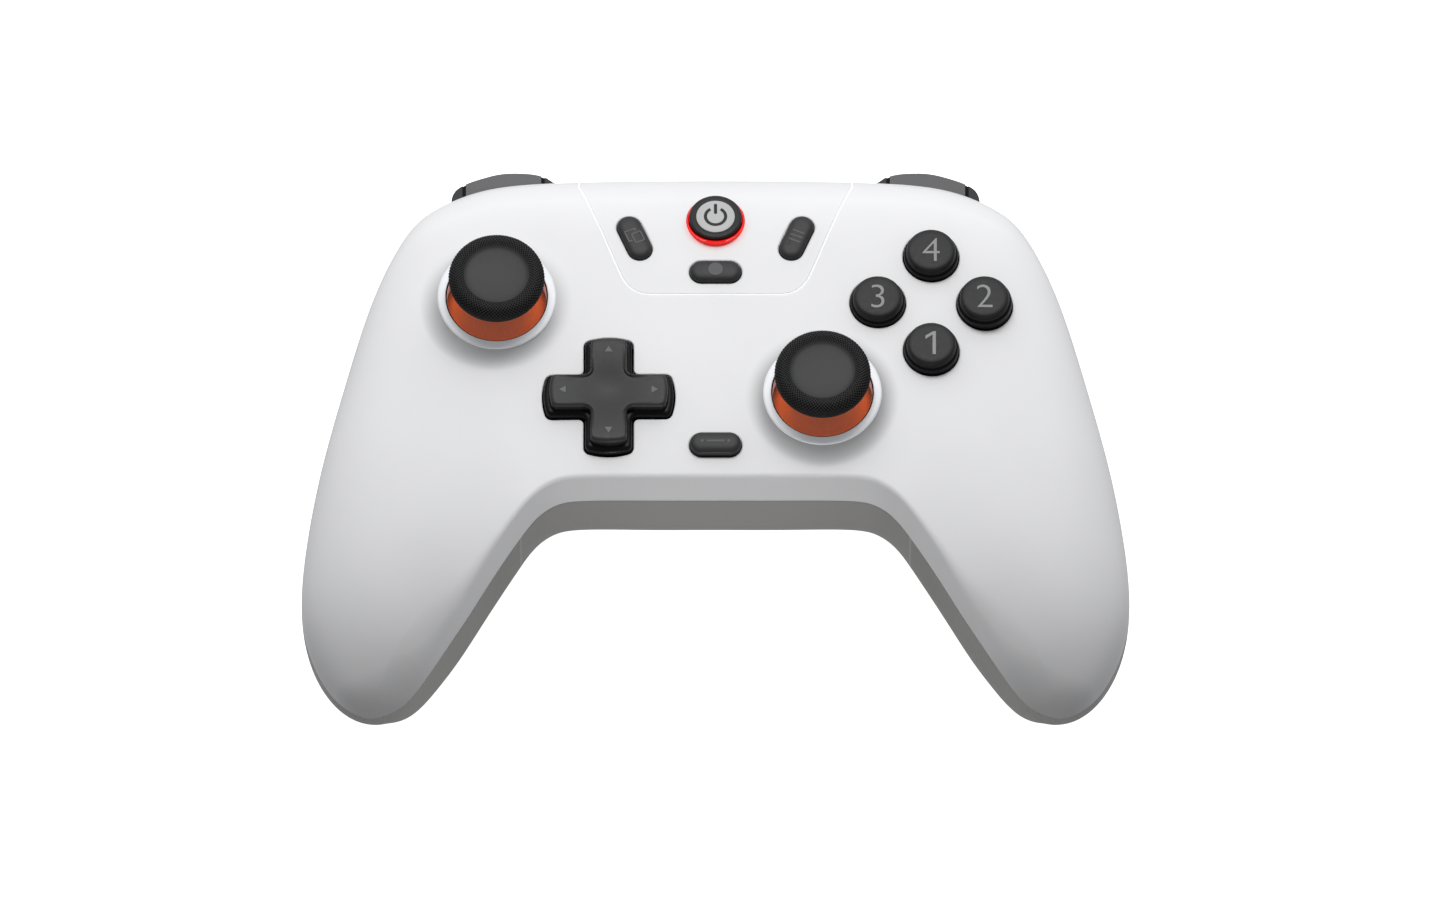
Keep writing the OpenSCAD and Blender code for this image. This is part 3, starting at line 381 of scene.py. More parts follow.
def revolve(profile, centre, n=128, knurl=None):
    """Closed solid of revolution from (r, z) points, first and last on the axis, or a closed ring if they aren't."""
    prof = np.asarray(profile, float)
    a = np.arange(n) * 2 * math.pi / n
    verts, rows = [], []
    closed = prof[0, 0] > 1e-6
    for k, (r, z) in enumerate(prof):
        if r < 1e-6:
            rows.append([len(verts)])
            verts.append((centre[0], centre[1], z))
        else:
            rr, zz = np.full(n, r), np.full(n, z)
            if knurl is not None:
                dr, dz = knurl(k, a)
                rr, zz = rr + dr, zz + dz
            rows.append(list(range(len(verts), len(verts) + n)))
            verts += [(centre[0] + rr[i] * math.cos(a[i]), centre[1] + rr[i] * math.sin(a[i]), zz[i]) for i in range(n)]
    faces, owner = [], []
    pairs = list(zip(range(len(rows) - 1), range(1, len(rows))))
    if closed:
        pairs.append((len(rows) - 1, 0))
    for p, q in pairs:
        A, B = rows[p], rows[q]
        for i in range(n):
            j = (i + 1) % n
            if len(A) == 1 and len(B) == 1:
                continue
            if len(A) == 1:
                faces.append((A[0], B[i], B[j]))
            elif len(B) == 1:
                faces.append((A[i], B[0], A[j]))
            else:
                faces.append((A[i], B[i], B[j], A[j]))
            owner.append(p)
    return verts, faces, owner


def inside(poly, pts):
    x, y = pts[:, 0], pts[:, 1]
    res = np.zeros(len(pts), bool)
    n = len(poly)
    for i in range(n):
        x1, y1 = poly[i]
        x2, y2 = poly[(i + 1) % n]
        c = ((y1 > y) != (y2 > y)) & (x < (x2 - x1) * (y - y1) / (y2 - y1 + 1e-30) + x1)
        res ^= c
    return res


def fill(loop, step):
    """Triangles over a closed 2-D loop, with a grid of points inside it. Returns extra points and triangles (indices: loop first)."""
    loop = np.asarray(loop, float)
    lo, hi = loop.min(0), loop.max(0)
    gx = np.arange(lo[0] + step / 2, hi[0], step)
    gy = np.arange(lo[1] + step / 2, hi[1], step)
    g = np.array([(x, y) for y in gy for x in gx]) if len(gx) and len(gy) else np.zeros((0, 2))
    if len(g):
        g = g[inside(loop, g)]
    if len(g):
        d = np.min(np.hypot(g[:, None, 0] - loop[None, :, 0], g[:, None, 1] - loop[None, :, 1]), axis=1)
        g = g[d > step * 0.55]
    pts = [Vector(p) for p in np.vstack([loop, g])]
    n = len(loop)
    out = delaunay_2d_cdt(pts, [(i, (i + 1) % n) for i in range(n)], [], 1, 1e-7)
    back = {}
    for k, src in enumerate(out[3]):
        if src:
            back[k] = src[0]
    tris = [tuple(back[v] for v in f) for f in out[2]]
    return g, tris


def loft(rings, top=None, bottom=None, step=0.6):
    """Closed solid through rings of equal count (bottom to top). top / bottom give z over the end caps from x, y."""
    n = len(rings[0])
    verts = [tuple(p) for r in rings for p in r]
    faces, owner = [], []
    for k in range(len(rings) - 1):
        for i in range(n):
            j = (i + 1) % n
            faces.append((k * n + i, k * n + j, (k + 1) * n + j, (k + 1) * n + i))
            owner.append(k)
    for which, zf in (("top", top), ("bottom", bottom)):
        base = (len(rings) - 1) * n if which == "top" else 0
        loop = np.asarray(rings[-1 if which == "top" else 0])[:, :2]
        if zf is None:
            f = tuple(range(base, base + n))
            faces.append(f if which == "top" else f[::-1])
            owner.append(len(rings) if which == "top" else -1)
        else:
            g, tris = fill(loop, step)
            first = len(verts)
            verts += [(x, y, zf(x, y)) for x, y in g]
            for t in tris:
                t = tuple(base + v if v < n else first + v - n for v in t)
                faces.append(t)
                owner.append(len(rings) if which == "top" else -1)
    return verts, faces, owner


def arc(cx, cy, r, a0, a1, n):
    a = np.radians(np.linspace(a0, a1, n))
    return np.column_stack([cx + r * np.cos(a), cy + r * np.sin(a)])


def circle(c, r, n=96):
    return arc(c[0], c[1], r, 0, 360 - 360 / n, n)


def stadium(c, l, w, ang, n=28):
    h = (l - w) / 2
    p = np.vstack([arc(h, 0, w / 2, -90, 90, n), arc(-h, 0, w / 2, 90, 270, n)])
    a = math.radians(ang)
    return p @ np.array([[math.cos(a), math.sin(a)], [-math.sin(a), math.cos(a)]]) + np.asarray(c)


def cross(c, span, arm, r, ri, n=8):
    """Cross outline whose arms end on a circle, with rounded outer corners r and filleted inner corners ri."""
    R, a = span / 2, arm / 2
    cx = math.sqrt((R - r) ** 2 - (a - r) ** 2)
    psi = math.degrees(math.atan2(a - r, cx))
    quarter = np.vstack([arc(0, 0, R, 0, psi, 5)[:-1], arc(cx, a - r, r, psi, 90, n), arc(a + ri, a + ri, ri, 270, 180, n),
                         arc(a - r, cx, r, 0, 90 - psi, n), arc(0, 0, R, 90 - psi, 90, 5)[1:-1]])
    out = []
    for k in range(4):
        t = math.radians(90 * k)
        out.append(quarter @ np.array([[math.cos(t), math.sin(t)], [-math.sin(t), math.cos(t)]]))
    return np.vstack(out) + np.asarray(c)


def at_z(loop, z):
    return np.column_stack([loop, np.full(len(loop), z)]) if np.isscalar(z) else np.column_stack([loop, z])


def smooth_loop(pts, per=6, closed=True):
    """Curve through the points, rounded."""
    p = np.asarray(pts, float)
    n = len(p)
    out = []
    for i in range(n if closed else n - 1):
        p0, p1, p2, p3 = (p[(i - 1) % n], p[i], p[(i + 1) % n], p[(i + 2) % n]) if closed else (
            p[max(i - 1, 0)], p[i], p[i + 1], p[min(i + 2, n - 1)])
        d1, d2, d3 = (max(np.linalg.norm(b - a) ** 0.5, 1e-6) for a, b in ((p0, p1), (p1, p2), (p2, p3)))
        m1 = p2 - p1 if np.allclose(p0, p1) else (p1 - p0) / d1 * d2 - (p2 - p0) / (d1 + d2) * d2 + (p2 - p1)
        m2 = p2 - p1 if np.allclose(p2, p3) else (p2 - p1) - (p3 - p1) / (d2 + d3) * d2 + (p3 - p2) / d3 * d2
        for k in range(per):
            t = k / per
            out.append((2 * t ** 3 - 3 * t ** 2 + 1) * p1 + (t ** 3 - 2 * t ** 2 + t) * m1 + (-2 * t ** 3 + 3 * t ** 2) * p2 + (t ** 3 - t ** 2) * m2)
    if not closed:
        out.append(p[-1])
    return np.array(out)


def inset_loop(loop, d):
    """Loop moved inward by d along its own normals (counter-clockwise loops)."""
    p = np.asarray(loop, float)
    a, b = p - np.roll(p, 1, 0), np.roll(p, -1, 0) - p
    na = np.column_stack([-a[:, 1], a[:, 0]]) / np.maximum(np.linalg.norm(a, axis=1), 1e-9)[:, None]
    nb = np.column_stack([-b[:, 1], b[:, 0]]) / np.maximum(np.linalg.norm(b, axis=1), 1e-9)[:, None]
    n = na + nb
    n /= np.maximum(np.linalg.norm(n, axis=1), 1e-9)[:, None]
    c = np.maximum(np.sum(n * na, axis=1), 0.5)
    return p + n * (d / c)[:, None]


def boolean(ob, cutter, op="DIFFERENCE"):
    m = ob.modifiers.new("cut", "BOOLEAN")
    m.operation = op
    m.object = cutter
    m.solver = "MANIFOLD"
    dg = bpy.context.evaluated_depsgraph_get()
    dg.update()
    me = bpy.data.meshes.new_from_object(ob.evaluated_get(dg))
    ob.modifiers.clear()
    old = ob.data
    ob.data = me
    bpy.data.meshes.remove(old)
    gone = cutter.data
    bpy.data.objects.remove(cutter)
    bpy.data.meshes.remove(gone)


def solid(name, parts):
    """A scratch object holding one or more closed solids, in the face frame."""
    verts, faces = [], []
    for v, f in parts:
        k = len(verts)
        verts += [tuple(x) for x in v]
        faces += [tuple(i + k for i in q) for q in f]
    me = bpy.data.meshes.new(name)
    me.from_pydata(world(verts).tolist(), [], faces)
    bm = bmesh.new()
    bm.from_mesh(me)
    bmesh.ops.recalc_face_normals(bm, faces=bm.faces)
    bmesh.ops.triangulate(bm, faces=[f for f in bm.faces if len(f.verts) > 4])
    bm.to_mesh(me)
    bm.free()
    ob = bpy.data.objects.new(name, me)
    scene.collection.objects.link(ob)
    return ob


# ------------------------------------------------------------------ shell surface
OUTER = [(0, 50.8), (15, 50.7), (31, 50.3), (43.5, 48.8), (52.5, 45), (58.5, 39), (64.5, 26), (69.6, 9), (74, -8), (77, -25),
         (77, -38), (73.2, -47), (69, -51)]
INNER = [(0, -17.8), (12, -17.8), (24, -17.8), (29.5, -18.5), (32.6, -20.3), (35, -22.8), (38, -26.8), (42, -32.4), (46, -38),
         (50, -42.8), (54, -47.2), (57.6, -50.3), (60.8, -51.8)]
TIP = (64.8, -52.5, -28.3)
OUTER_Z = [-9, -9, -9, -9, -9.3, -9.8, -11, -13, -15.5, -19, -22.5, -26, -27.7]
INNER_Z = [-7, -7, -7.1, -7.4, -7.9, -8.6, -9.8, -11.9, -14.8, -18.3, -22.2, -25.8, -27.5]
STATION = {
    "cw": [1.8, 1.8, 1.8, 1.8, 1.8, 1.9, 2, 2, 2, 2, 1.8, 1.4, 0.7, 0],
    "cz": [-0.6, -0.6, -0.7, -0.9, -1.3, -1.8, -3, -5.2, -8.4, -12.6, -17.4, -22.5, -25.8, -28.3],
    "rz": [0.6, 0.6, 0.4, 0.1, -0.2, -0.6, -1.4, -2.8, -5, -8.6, -13.8, -19.8, -24.3, -28.3],
    "rs": [0.4, 0.4, 0.4, 0.4, 0.4, 0.4, 0.42, 0.45, 0.48, 0.5, 0.5, 0.5, 0.5, 0.5],
    "as": [0.26, 0.26, 0.26, 0.26, 0.26, 0.26, 0.27, 0.3, 0.36, 0.45, 0.5, 0.5, 0.5, 0.5],
    "fs": [0.12, 0.12, 0.12, 0.12, 0.12, 0.12, 0.14, 0.2, 0.35, 0.6, 0.85, 0.95, 0.95, 0.95],
    "bz": [-30, -30, -30, -30.8, -32.5, -35.6, -39.4, -42.7, -45.5, -46.08, -43.2, -36.4, -32.6, -28.3],
    "is": [0.147, 0.147, 0.15, 0.15, 0.15, 0.165, 0.195, 0.225, 0.262, 0.295, 0.325, 0.38, 0.43, 0.5],
    "os": [0.147, 0.147, 0.15, 0.16, 0.18, 0.21, 0.28, 0.4, 0.5, 0.5, 0.5, 0.54, 0.54, 0.5],
}
ROLL_N, WALL, SEAM = 2.4, 2.2, 0.12


def spline(p, sym=1, end="nat"):
    p = np.asarray(p, float)
    n = len(p) - 1
    A, b = np.zeros((n + 1, n + 1)), 6 * p.copy()
    if sym > 0:
        A[0, 0], A[0, 1] = 4, 2
    else:
        A[0, 0], b[0] = 1, p[0]
    for i in range(1, n):
        A[i, i - 1:i + 2] = [1, 4, 1]
    if end == "even":
        A[n, n - 1], A[n, n] = 2, 4
    else:
        A[n, n], b[n] = 1, p[n]
    c = np.linalg.solve(A, b)
    first = c[1] if sym > 0 else -c[1]
    last = {"nat": 2 * c[n] - c[n - 1], "even": c[n - 1], "odd": -c[n - 1]}[end]
    return np.concatenate([[first], c, [last]])


def ev(c, t):
    n = len(c) - 3
    i = min(max(int(math.floor(t)), 0), n - 1)
    f = t - i
    return ((1 - f) ** 3 * c[i] + (3 * f ** 3 - 6 * f ** 2 + 4) * c[i + 1] + (-3 * f ** 3 + 3 * f ** 2 + 3 * f + 1) * c[i + 2] + f ** 3 * c[i + 3]) / 6


LX = spline([p[0] for p in OUTER] + [TIP[0]] + [p[0] for p in INNER[::-1]], -1, "odd")
LY = spline([p[1] for p in OUTER] + [TIP[1]] + [p[1] for p in INNER[::-1]], 1, "even")
LZ = spline(OUTER_Z + [TIP[2]] + INNER_Z[::-1], 1, "even")
K = {k: spline(v) for k, v in STATION.items()}


def edge(t):
    return np.array([ev(LX, t), ev(LY, t), ev(LZ, t)])


def front_section(t, nb, nf, na, nr, lip=0.0):
    o, i = edge(t), edge(26 - t)
    d = o[:2] - i[:2]
    w = np.hypot(*d)
    u = d / w
    cw, cz, zr, rs, a, fs = (ev(K[k], t) for k in ("cw", "cz", "rz", "rs", "as", "fs"))
    c = np.array([*(i[:2] + u * cw), cz])
    l = w - cw

    def face(s):
        s = np.atleast_1d(s)
        g = 1 - (1 - np.minimum(s / rs, 1)) ** 2
        z = cz + (zr - cz) * g
        v = np.clip((s - 1 + a) / a, 0, 1)
        z = z - (z - o[2]) * (1 - np.maximum(0, 1 - v ** ROLL_N) ** (1 / ROLL_N))
        return np.column_stack([c[0] + u[0] * l * s, c[1] + u[1] * l * s, z])

    p1 = c + (i - c) * fs
    s2 = min(np.linalg.norm(i - c) * fs / l, 0.6 * (1 - a))
    p2 = face(s2)[0]
    f = np.arange(nf)[:, None] / nf
    band = i + (p1 - i) * (np.arange(nb)[:, None] / nb)
    fil = (1 - f) ** 2 * p1 + 2 * f * (1 - f) * c + f * f * p2
    mid = face(s2 + (1 - a - s2) * np.arange(na) / na)
    roll = face(1 - a + a * np.sin(np.pi / 2 * np.arange(nr + 1) / nr) ** (2 / ROLL_N))
    roll[-1] = o
    if lip:
        e = min(lip, 0.06 * w)
        up = min(1.4 * e, 0.4 * np.linalg.norm(p1 - i) / max(nb, 1))
        q = (p1 - i) / max(np.linalg.norm(p1 - i), 1e-9)
        band = np.vstack([i + np.array([*(u * e), 0]), i + q * up, band[1:]])
        roll = np.vstack([roll[:-1], o + np.array([0, 0, min(1.4 * e, 0.4 * (roll[-2][2] - o[2]))]), o - np.array([*(u * e), 0])])
    return np.vstack([band, fil, mid, roll])


def back_section(t, n1, n2, lip=0.0):
    o, i = edge(t) - [0, 0, SEAM], edge(26 - t) - [0, 0, SEAM]
    d = o[:2] - i[:2]
    w = np.hypot(*d)
    u = d / w
    zb, ai, ao = (ev(K[k], t) for k in ("bz", "is", "os"))
    a = np.pi / 2 * np.arange(n1) / n1
    s1, z1 = ai * (1 - np.cos(a)), zb + (i[2] - zb) * (1 - np.sin(a))
    s2 = ai + (1 - ao - ai) * np.arange(n2) / n2
    a = np.pi / 2 * np.arange(n1 + 1) / n1
    s3, z3 = 1 - ao + ao * np.sin(a), zb + (o[2] - zb) * (1 - np.cos(a))
    s, z = np.concatenate([s1, s2, s3]), np.concatenate([z1, np.full(n2, zb), z3])
    p = np.column_stack([i[0] + u[0] * w * s, i[1] + u[1] * w * s, z])
    p[0], p[-1] = i, o
    if lip:
        e = min(lip, 0.06 * w)
        down = min(1.4 * e, 0.4 * abs(p[1][2] - i[2]))
        down2 = min(1.4 * e, 0.4 * abs(p[-2][2] - o[2]))
        p = np.vstack([i + np.array([*(u * e), 0]), i - [0, 0, down], p[1:-1], o - [0, 0, down2], o - np.array([*(u * e), 0])])
    return p


def inset_section(p, h):
    a, b = p[0], p[-1]
    m, d = (a + b) / 2, (b - a)[:2]
    w = np.hypot(*d)
    kx, kz = max(0.15, 1 - 2 * WALL / w), max(0.15, 1 - WALL / h)
    f = ((p[:, :2] - a[:2]) @ d) / (w * w)
    zs = a[2] + (b[2] - a[2]) * f
    return np.column_stack([m[0] + (p[:, 0] - m[0]) * kx, m[1] + (p[:, 1] - m[1]) * kx, zs + (p[:, 2] - zs) * kz])


HALF = np.concatenate([np.arange(0.05, 3, 0.05), np.arange(3, 10, 0.08), np.arange(10, 12.6, 0.1), [12.6, 12.72, 12.82, 12.9, 12.95]])
ALL_T = np.concatenate([-HALF[::-1], [0], HALF])


def in_t(t):
    return t if t < 10 else 10 + (t - 10) * 2.1 / 2.88


def side(t, p):
    return p * np.array([-1 if t < 0 else 1, 1, 1])


def grid_mesh(a, b, ta, tb):
    """Closed thin shell between an outside and an inside grid of rows, closing on a tip point at both ends."""
    m, n, q = len(a), len(a[0]), len(b[0])
    verts = [tuple(p) for r in a for p in r] + [tuple(p) for r in b for p in r]
    base = m * n
    ol = base + m * q
    verts += [(-ta[0], ta[1], ta[2]), tuple(ta), (-tb[0], tb[1], tb[2]), tuple(tb)]
    orr, il, ir = ol + 1, ol + 2, ol + 3
    O = lambda i, j: i * n + j
    I = lambda i, j: base + i * q + j
    faces = [(O(i, j), O(i, j + 1), O(i + 1, j + 1), O(i + 1, j)) for i in range(m - 1) for j in range(n - 1)]
    outer_count = len(faces)
    faces += [(I(i, j), I(i + 1, j), I(i + 1, j + 1), I(i, j + 1)) for i in range(m - 1) for j in range(q - 1)]
    for i in range(m - 1):
        faces.append((O(i, 0), O(i + 1, 0), I(i + 1, 0), I(i, 0)))
        faces.append((O(i, n - 1), I(i, q - 1), I(i + 1, q - 1), O(i + 1, n - 1)))
    for j in range(n - 1):
        faces += [(ol, O(0, j + 1), O(0, j)), (orr, O(m - 1, j), O(m - 1, j + 1))]
    for j in range(q - 1):
        faces += [(il, I(0, j), I(0, j + 1)), (ir, I(m - 1, j + 1), I(m - 1, j))]
    faces += [(ol, O(0, 0), I(0, 0), il), (ol, il, I(0, q - 1), O(0, n - 1)),
              (orr, ir, I(m - 1, 0), O(m - 1, 0)), (orr, O(m - 1, n - 1), I(m - 1, q - 1), ir)]
    return verts, faces, outer_count


def grid_normals(g):
    """Smooth unit normals of a grid of points (rows, columns, 3)."""
    du = np.gradient(g, axis=0)
    dv = np.gradient(g, axis=1)
    n = np.cross(du, dv)
    return n / np.maximum(np.linalg.norm(n, axis=2), 1e-12)[:, :, None]


class Surface:
    """The smooth outside of a shell, for lifting points on to it and for its true normals."""

    def __init__(self, grid, up):
        self.g = grid
        m, n = grid.shape[:2]
        nn = grid_normals(grid)
        if np.sum(nn[m // 2, :, 2]) * up < 0:
            nn = -nn
        self.v = grid.reshape(-1, 3)
        self.n = nn.reshape(-1, 3)
        idx = np.arange(m * n).reshape(m, n)
        a, b, c, d = idx[:-1, :-1].ravel(), idx[:-1, 1:].ravel(), idx[1:, 1:].ravel(), idx[1:, :-1].ravel()
        self.tri = np.vstack([np.column_stack([a, b, c]), np.column_stack([a, c, d])])
        self.tree = BVHTree.FromPolygons(self.v.tolist(), self.tri.tolist(), all_triangles=True)
        self.lo, self.hi = self.v.min(0) - 0.1, self.v.max(0) + 0.1

    def near(self, p):
        return bool(np.all(p >= self.lo) and np.all(p <= self.hi))

    def z(self, x, y, up=1):
        hit = self.tree.ray_cast(Vector((x, y, 100 * up)), Vector((0, 0, -up)))
        return hit[0].z

    def zs(self, xy, up=1):
        return np.array([self.z(x, y, up) for x, y in xy])

    def nearest(self, p):
        loc, _, k, dist = self.tree.find_nearest(Vector(p))
        ia, ib, ic = self.tri[k]
        a, b, c = self.v[ia], self.v[ib], self.v[ic]
        v0, v1, v2 = b - a, c - a, np.array(loc) - a
        d00, d01, d11, d20, d21 = v0 @ v0, v0 @ v1, v1 @ v1, v2 @ v0, v2 @ v1
        den = d00 * d11 - d01 * d01
        if abs(den) < 1e-18:
            w = np.array([1, 0, 0])
        else:
            s, t = (d11 * d20 - d01 * d21) / den, (d00 * d21 - d01 * d20) / den
            w = np.array([1 - s - t, s, t])
        n = w[0] * self.n[ia] + w[1] * self.n[ib] + w[2] * self.n[ic]
        return np.array(loc), n / max(np.linalg.norm(n), 1e-12), dist


def true_normals(ob, surfs, tol=0.004):
    """Shades every face that lies on one of the smooth surfaces with that surface's own normals."""
    me = ob.data
    co = np.zeros(len(me.vertices) * 3)
    me.vertices.foreach_get("co", co)
    co = co.reshape(-1, 3) * 1000 + np.array([0, Y_MID, -FACE_Z])
    normals = np.zeros(len(me.loops) * 3)
    me.corner_normals.foreach_get("vector", normals)
    normals = normals.reshape(-1, 3)
    for surf in surfs:
        on, nor = np.zeros(len(co), bool), np.zeros((len(co), 3))
        for k, p in enumerate(co):
            if surf.near(p):
                _, n, dist = surf.nearest(p)
                on[k], nor[k] = dist < tol, n
        for poly in me.polygons:
            vs = list(poly.vertices)
            if on[vs].all() and np.dot(nor[vs].mean(0), poly.normal) > 0.8:
                for li, v in zip(poly.loop_indices, vs):
                    normals[li] = nor[v]
    me.normals_split_custom_set(normals.tolist())


LEFT_STICK, RIGHT_STICK, PIVOT_Z = (-41, 21), (20, 0.5), -12
DPAD, DIAMOND, DIA_R = (-20, 0.5), (40.4, 20.6), 10
HOME, CAPTURE, MODE = (0, 38.5), (0, 27.1), (0, -9.6)
VIEW, MENU, LEAN, PILL_L, PILL_W = (-15.2, 34.4), (15.2, 34.4), 23, 9.56, 4.46
BUTTONS = {"east": (DIAMOND[0] + DIA_R, DIAMOND[1]), "north": (DIAMOND[0], DIAMOND[1] + DIA_R),
           "west": (DIAMOND[0] - DIA_R, DIAMOND[1]), "south": (DIAMOND[0], DIAMOND[1] - DIA_R)}


LIP = 0.16
front_grid = np.array([side(t, front_section(abs(t), 6, 8, 46, 22, LIP)) for t in ALL_T])
front_in = np.array([side(t, inset_section(front_section(in_t(abs(t)), 2, 2, 10, 8), ev(K["rz"], in_t(abs(t))) - (edge(in_t(abs(t)))[2] + edge(26 - in_t(abs(t)))[2]) / 2))
                     for t in ALL_T])
back_grid = np.array([side(t, back_section(abs(t), 22, 14, LIP)) for t in ALL_T])
back_in = np.array([side(t, inset_section(back_section(in_t(abs(t)), 8, 4), (edge(in_t(abs(t)))[2] + edge(26 - in_t(abs(t)))[2]) / 2 - ev(K["bz"], in_t(abs(t)))))
                    for t in ALL_T])
TIP_IN = np.array(TIP) + [-1.2, 3.4, 0]
FRONT = Surface(front_grid[:, 1:-1], 1)
BACK = Surface(back_grid[:, 1:-1], -1)


# ------------------------------------------------------------------ openings in the front
def cutter_plan(outline, lip, depth):
    """Cutter for a hole of a given outline(offset), its lip rounded along the surface."""
    rows = [(lip + 0.5, 0.42), (lip * 0.95, -0.01)]
    for a in (30, 55, 75, 90):
        a = math.radians(a)
        rows.append((lip * (1 - math.sin(a)), -lip * (1 - math.cos(a))))
    rings = []
    for off, dz in rows:
        loop = outline(off)
        rings.append(at_z(loop, FRONT.zs(loop) + dz))
    loop = outline(0)
    rings.append(at_z(loop, FRONT.zs(loop) - depth))
    v, f, _ = loft(rings[::-1])
    return v, f


def cutter_box(x0, x1, y0, y1, z0, z1, r=0.8):
    """Box along Y with rounded edges in the XZ section."""
    sec = np.vstack([arc(x1 - r, z1 - r, r, 0, 90, 7), arc(x0 + r, z1 - r, r, 90, 180, 7), arc(x0 + r, z0 + r, r, 180, 270, 7), arc(x1 - r, z0 + r, r, 270, 360, 7)])
    rings = [np.column_stack([sec[:, 0], np.full(len(sec), y), sec[:, 1]]) for y in (y0, y1)]
    n = len(sec)
    verts = [tuple(p) for q in rings for p in q]
    faces = [(i, (i + 1) % n, n + (i + 1) % n, n + i) for i in range(n)] + [tuple(range(n)), tuple(range(2 * n - 1, n - 1, -1))]
    return verts, faces


def groove_path():
    """The panel's joint line on the skin: up one side, across the bottom, down the other."""
    right = [(25.4, 47.0), (21.5, 36.8), (17.9, 27.4), (17.1, 25.6), (15.9, 24.0), (14.3, 22.9), (12.4, 22.5)]
    flat = smooth_loop(right, 10, False)
    cols = front_grid[:, 1:-1]
    rolled = []
    m = len(ALL_T) // 2
    for j in range(cols.shape[1]):
        xs = cols[m:, j, 0]
        k = int(np.argmax(xs > 25.4))
        if k == 0:
            continue
        f = (25.4 - xs[k - 1]) / (xs[k] - xs[k - 1])
        p = cols[m + k - 1, j] * (1 - f) + cols[m + k, j] * f
        if p[1] > 47.4:
            rolled.append(p)
    rolled = rolled[::-1]
    start = rolled[0] + (rolled[0] - rolled[1]) / np.linalg.norm(rolled[0] - rolled[1]) * 1.5
    pts = [start] + rolled + [np.array([x, y, FRONT.z(x, y)]) for x, y in flat]
    bottom = [np.array([x, 22.5, FRONT.z(x, 22.5)]) for x in np.arange(11.4, -0.01, -1.0)]
    half = pts + bottom
    other = [p * np.array([-1, 1, 1]) for p in half[::-1]]
    return np.array(half + other)


def groove_cutter(path, gap=0.006, lip=0.6, crisp=0.05, depth=4.2):
    """The joint's slit, with a wide soft edge on the casing's side and a crisp one on the panel's."""
    d = np.gradient(path, axis=0)
    d /= np.linalg.norm(d, axis=1)[:, None]
    nor = np.array([FRONT.nearest(p)[1] for p in path])
    nor -= np.sum(nor * d, axis=1)[:, None] * d
    nor /= np.linalg.norm(nor, axis=1)[:, None]
    side_v = np.cross(nor, d)
    prof = [(gap + lip + 0.3, 0.22), (gap + lip, -0.004), (gap + lip * 0.7, -0.025), (gap + lip * 0.4, -0.07), (gap + lip * 0.15, -0.125), (gap, -0.16), (gap, -depth)]
    prof += [(-gap, -depth), (-gap, -0.02), (-gap - crisp * 0.3, -0.012), (-gap - crisp, -0.003), (-gap - crisp - 0.3, 0.22)]
    n = len(prof)
    verts = [tuple(path[i] + side_v[i] * s + nor[i] * h) for i in range(len(path)) for s, h in prof]
    faces = [(i * n + k, i * n + (k + 1) % n, (i + 1) * n + (k + 1) % n, (i + 1) * n + k) for i in range(len(path) - 1) for k in range(n)]
    faces += [tuple(range(n)), tuple(range((len(path) - 1) * n + n - 1, (len(path) - 1) * n - 1, -1))]
    return verts, faces


def collar(c, n=160):
    """The skin sweeps up in a small hollow curve to meet the stick ring: a closed solid, and its top for the normals."""
    rr = np.array([10.0, 10.5, 10.9, 11.12, 11.22, 11.35, 11.5, 11.7, 11.9, 12.1, 12.35, 12.6, 12.9, 13.2, 13.5, 13.8, 14.1, 14.5, 14.9])

    def row(k):
        a = 2 * math.pi * k / n
        out = []
        for r in rr:
            x, y = c[0] + r * math.cos(a), c[1] + r * math.sin(a)
            b = FRONT.z(x, y)
            w = 1.0 if r <= 11.12 else ((14.9 - r) / 3.78) ** 2.5 - 0.004
            out.append((x, y, b + (1.48 - b) * w))
        x, y = c[0] + 15.3 * math.cos(a), c[1] + 15.3 * math.sin(a)
        b = FRONT.z(x, y)
        return out + [(x, y, b - 0.3), (x, y, b - 1.5), (*out[0][:2], FRONT.z(*out[0][:2]) - 1.5)]

    rows = [row(k) for k in range(n)]
    m = len(rows[0])
    verts = [q for r in rows for q in r]
    faces = [(i * m + j, i * m + (j + 1) % m, ((i + 1) % n) * m + (j + 1) % m, ((i + 1) % n) * m + j) for i in range(n) for j in range(m)]
    top = np.array([rows[k % n][:len(rr)] for k in range(-3, n + 3)])
    return (verts, faces), Surface(top[:, 3:], 1)


def pillow(c, ang):
    return lambda off: stadium(c, PILL_L + 0.36 + 2 * off, PILL_W + 0.36 + 2 * off, ang)


cuts = [revolve([(0, -8), (10.4, -8), (10.4, 6), (0, 6)], c, 128)[:2] for c in (LEFT_STICK, RIGHT_STICK)]
cuts += [cutter_plan(lambda o, c=c: circle(c, 5.32 + o, 96), 0.2, 7) for c in BUTTONS.values()]
cuts += [cutter_plan(lambda o: cross(DPAD, 25.0 + 2 * o, 9.4 + 2 * o, 1.4 + o, max(0.1, 1.0 - o)), 0.2, 7)]
cuts += [cutter_plan(lambda o: circle((HOME[0], HOME[1] - 0.24), 5.5 + o, 96), 0.06, 7)]
cuts += [cutter_plan(pillow(c, a), 0.28, 7) for c, a in ((MODE, 0), (CAPTURE, 0), (VIEW, 90 + LEAN), (MENU, 90 - LEAN))]
v, f, _ = grid_mesh(front_grid, front_in, np.array(TIP), TIP_IN)
front_ob = solid("front_work", [(v, f)])
collars = [collar(c) for c in (LEFT_STICK, RIGHT_STICK)]
boolean(front_ob, solid("front_collars", [q for q, _ in collars]), "UNION")
boolean(front_ob, solid("front_cut", cuts + [groove_cutter(groove_path())]))


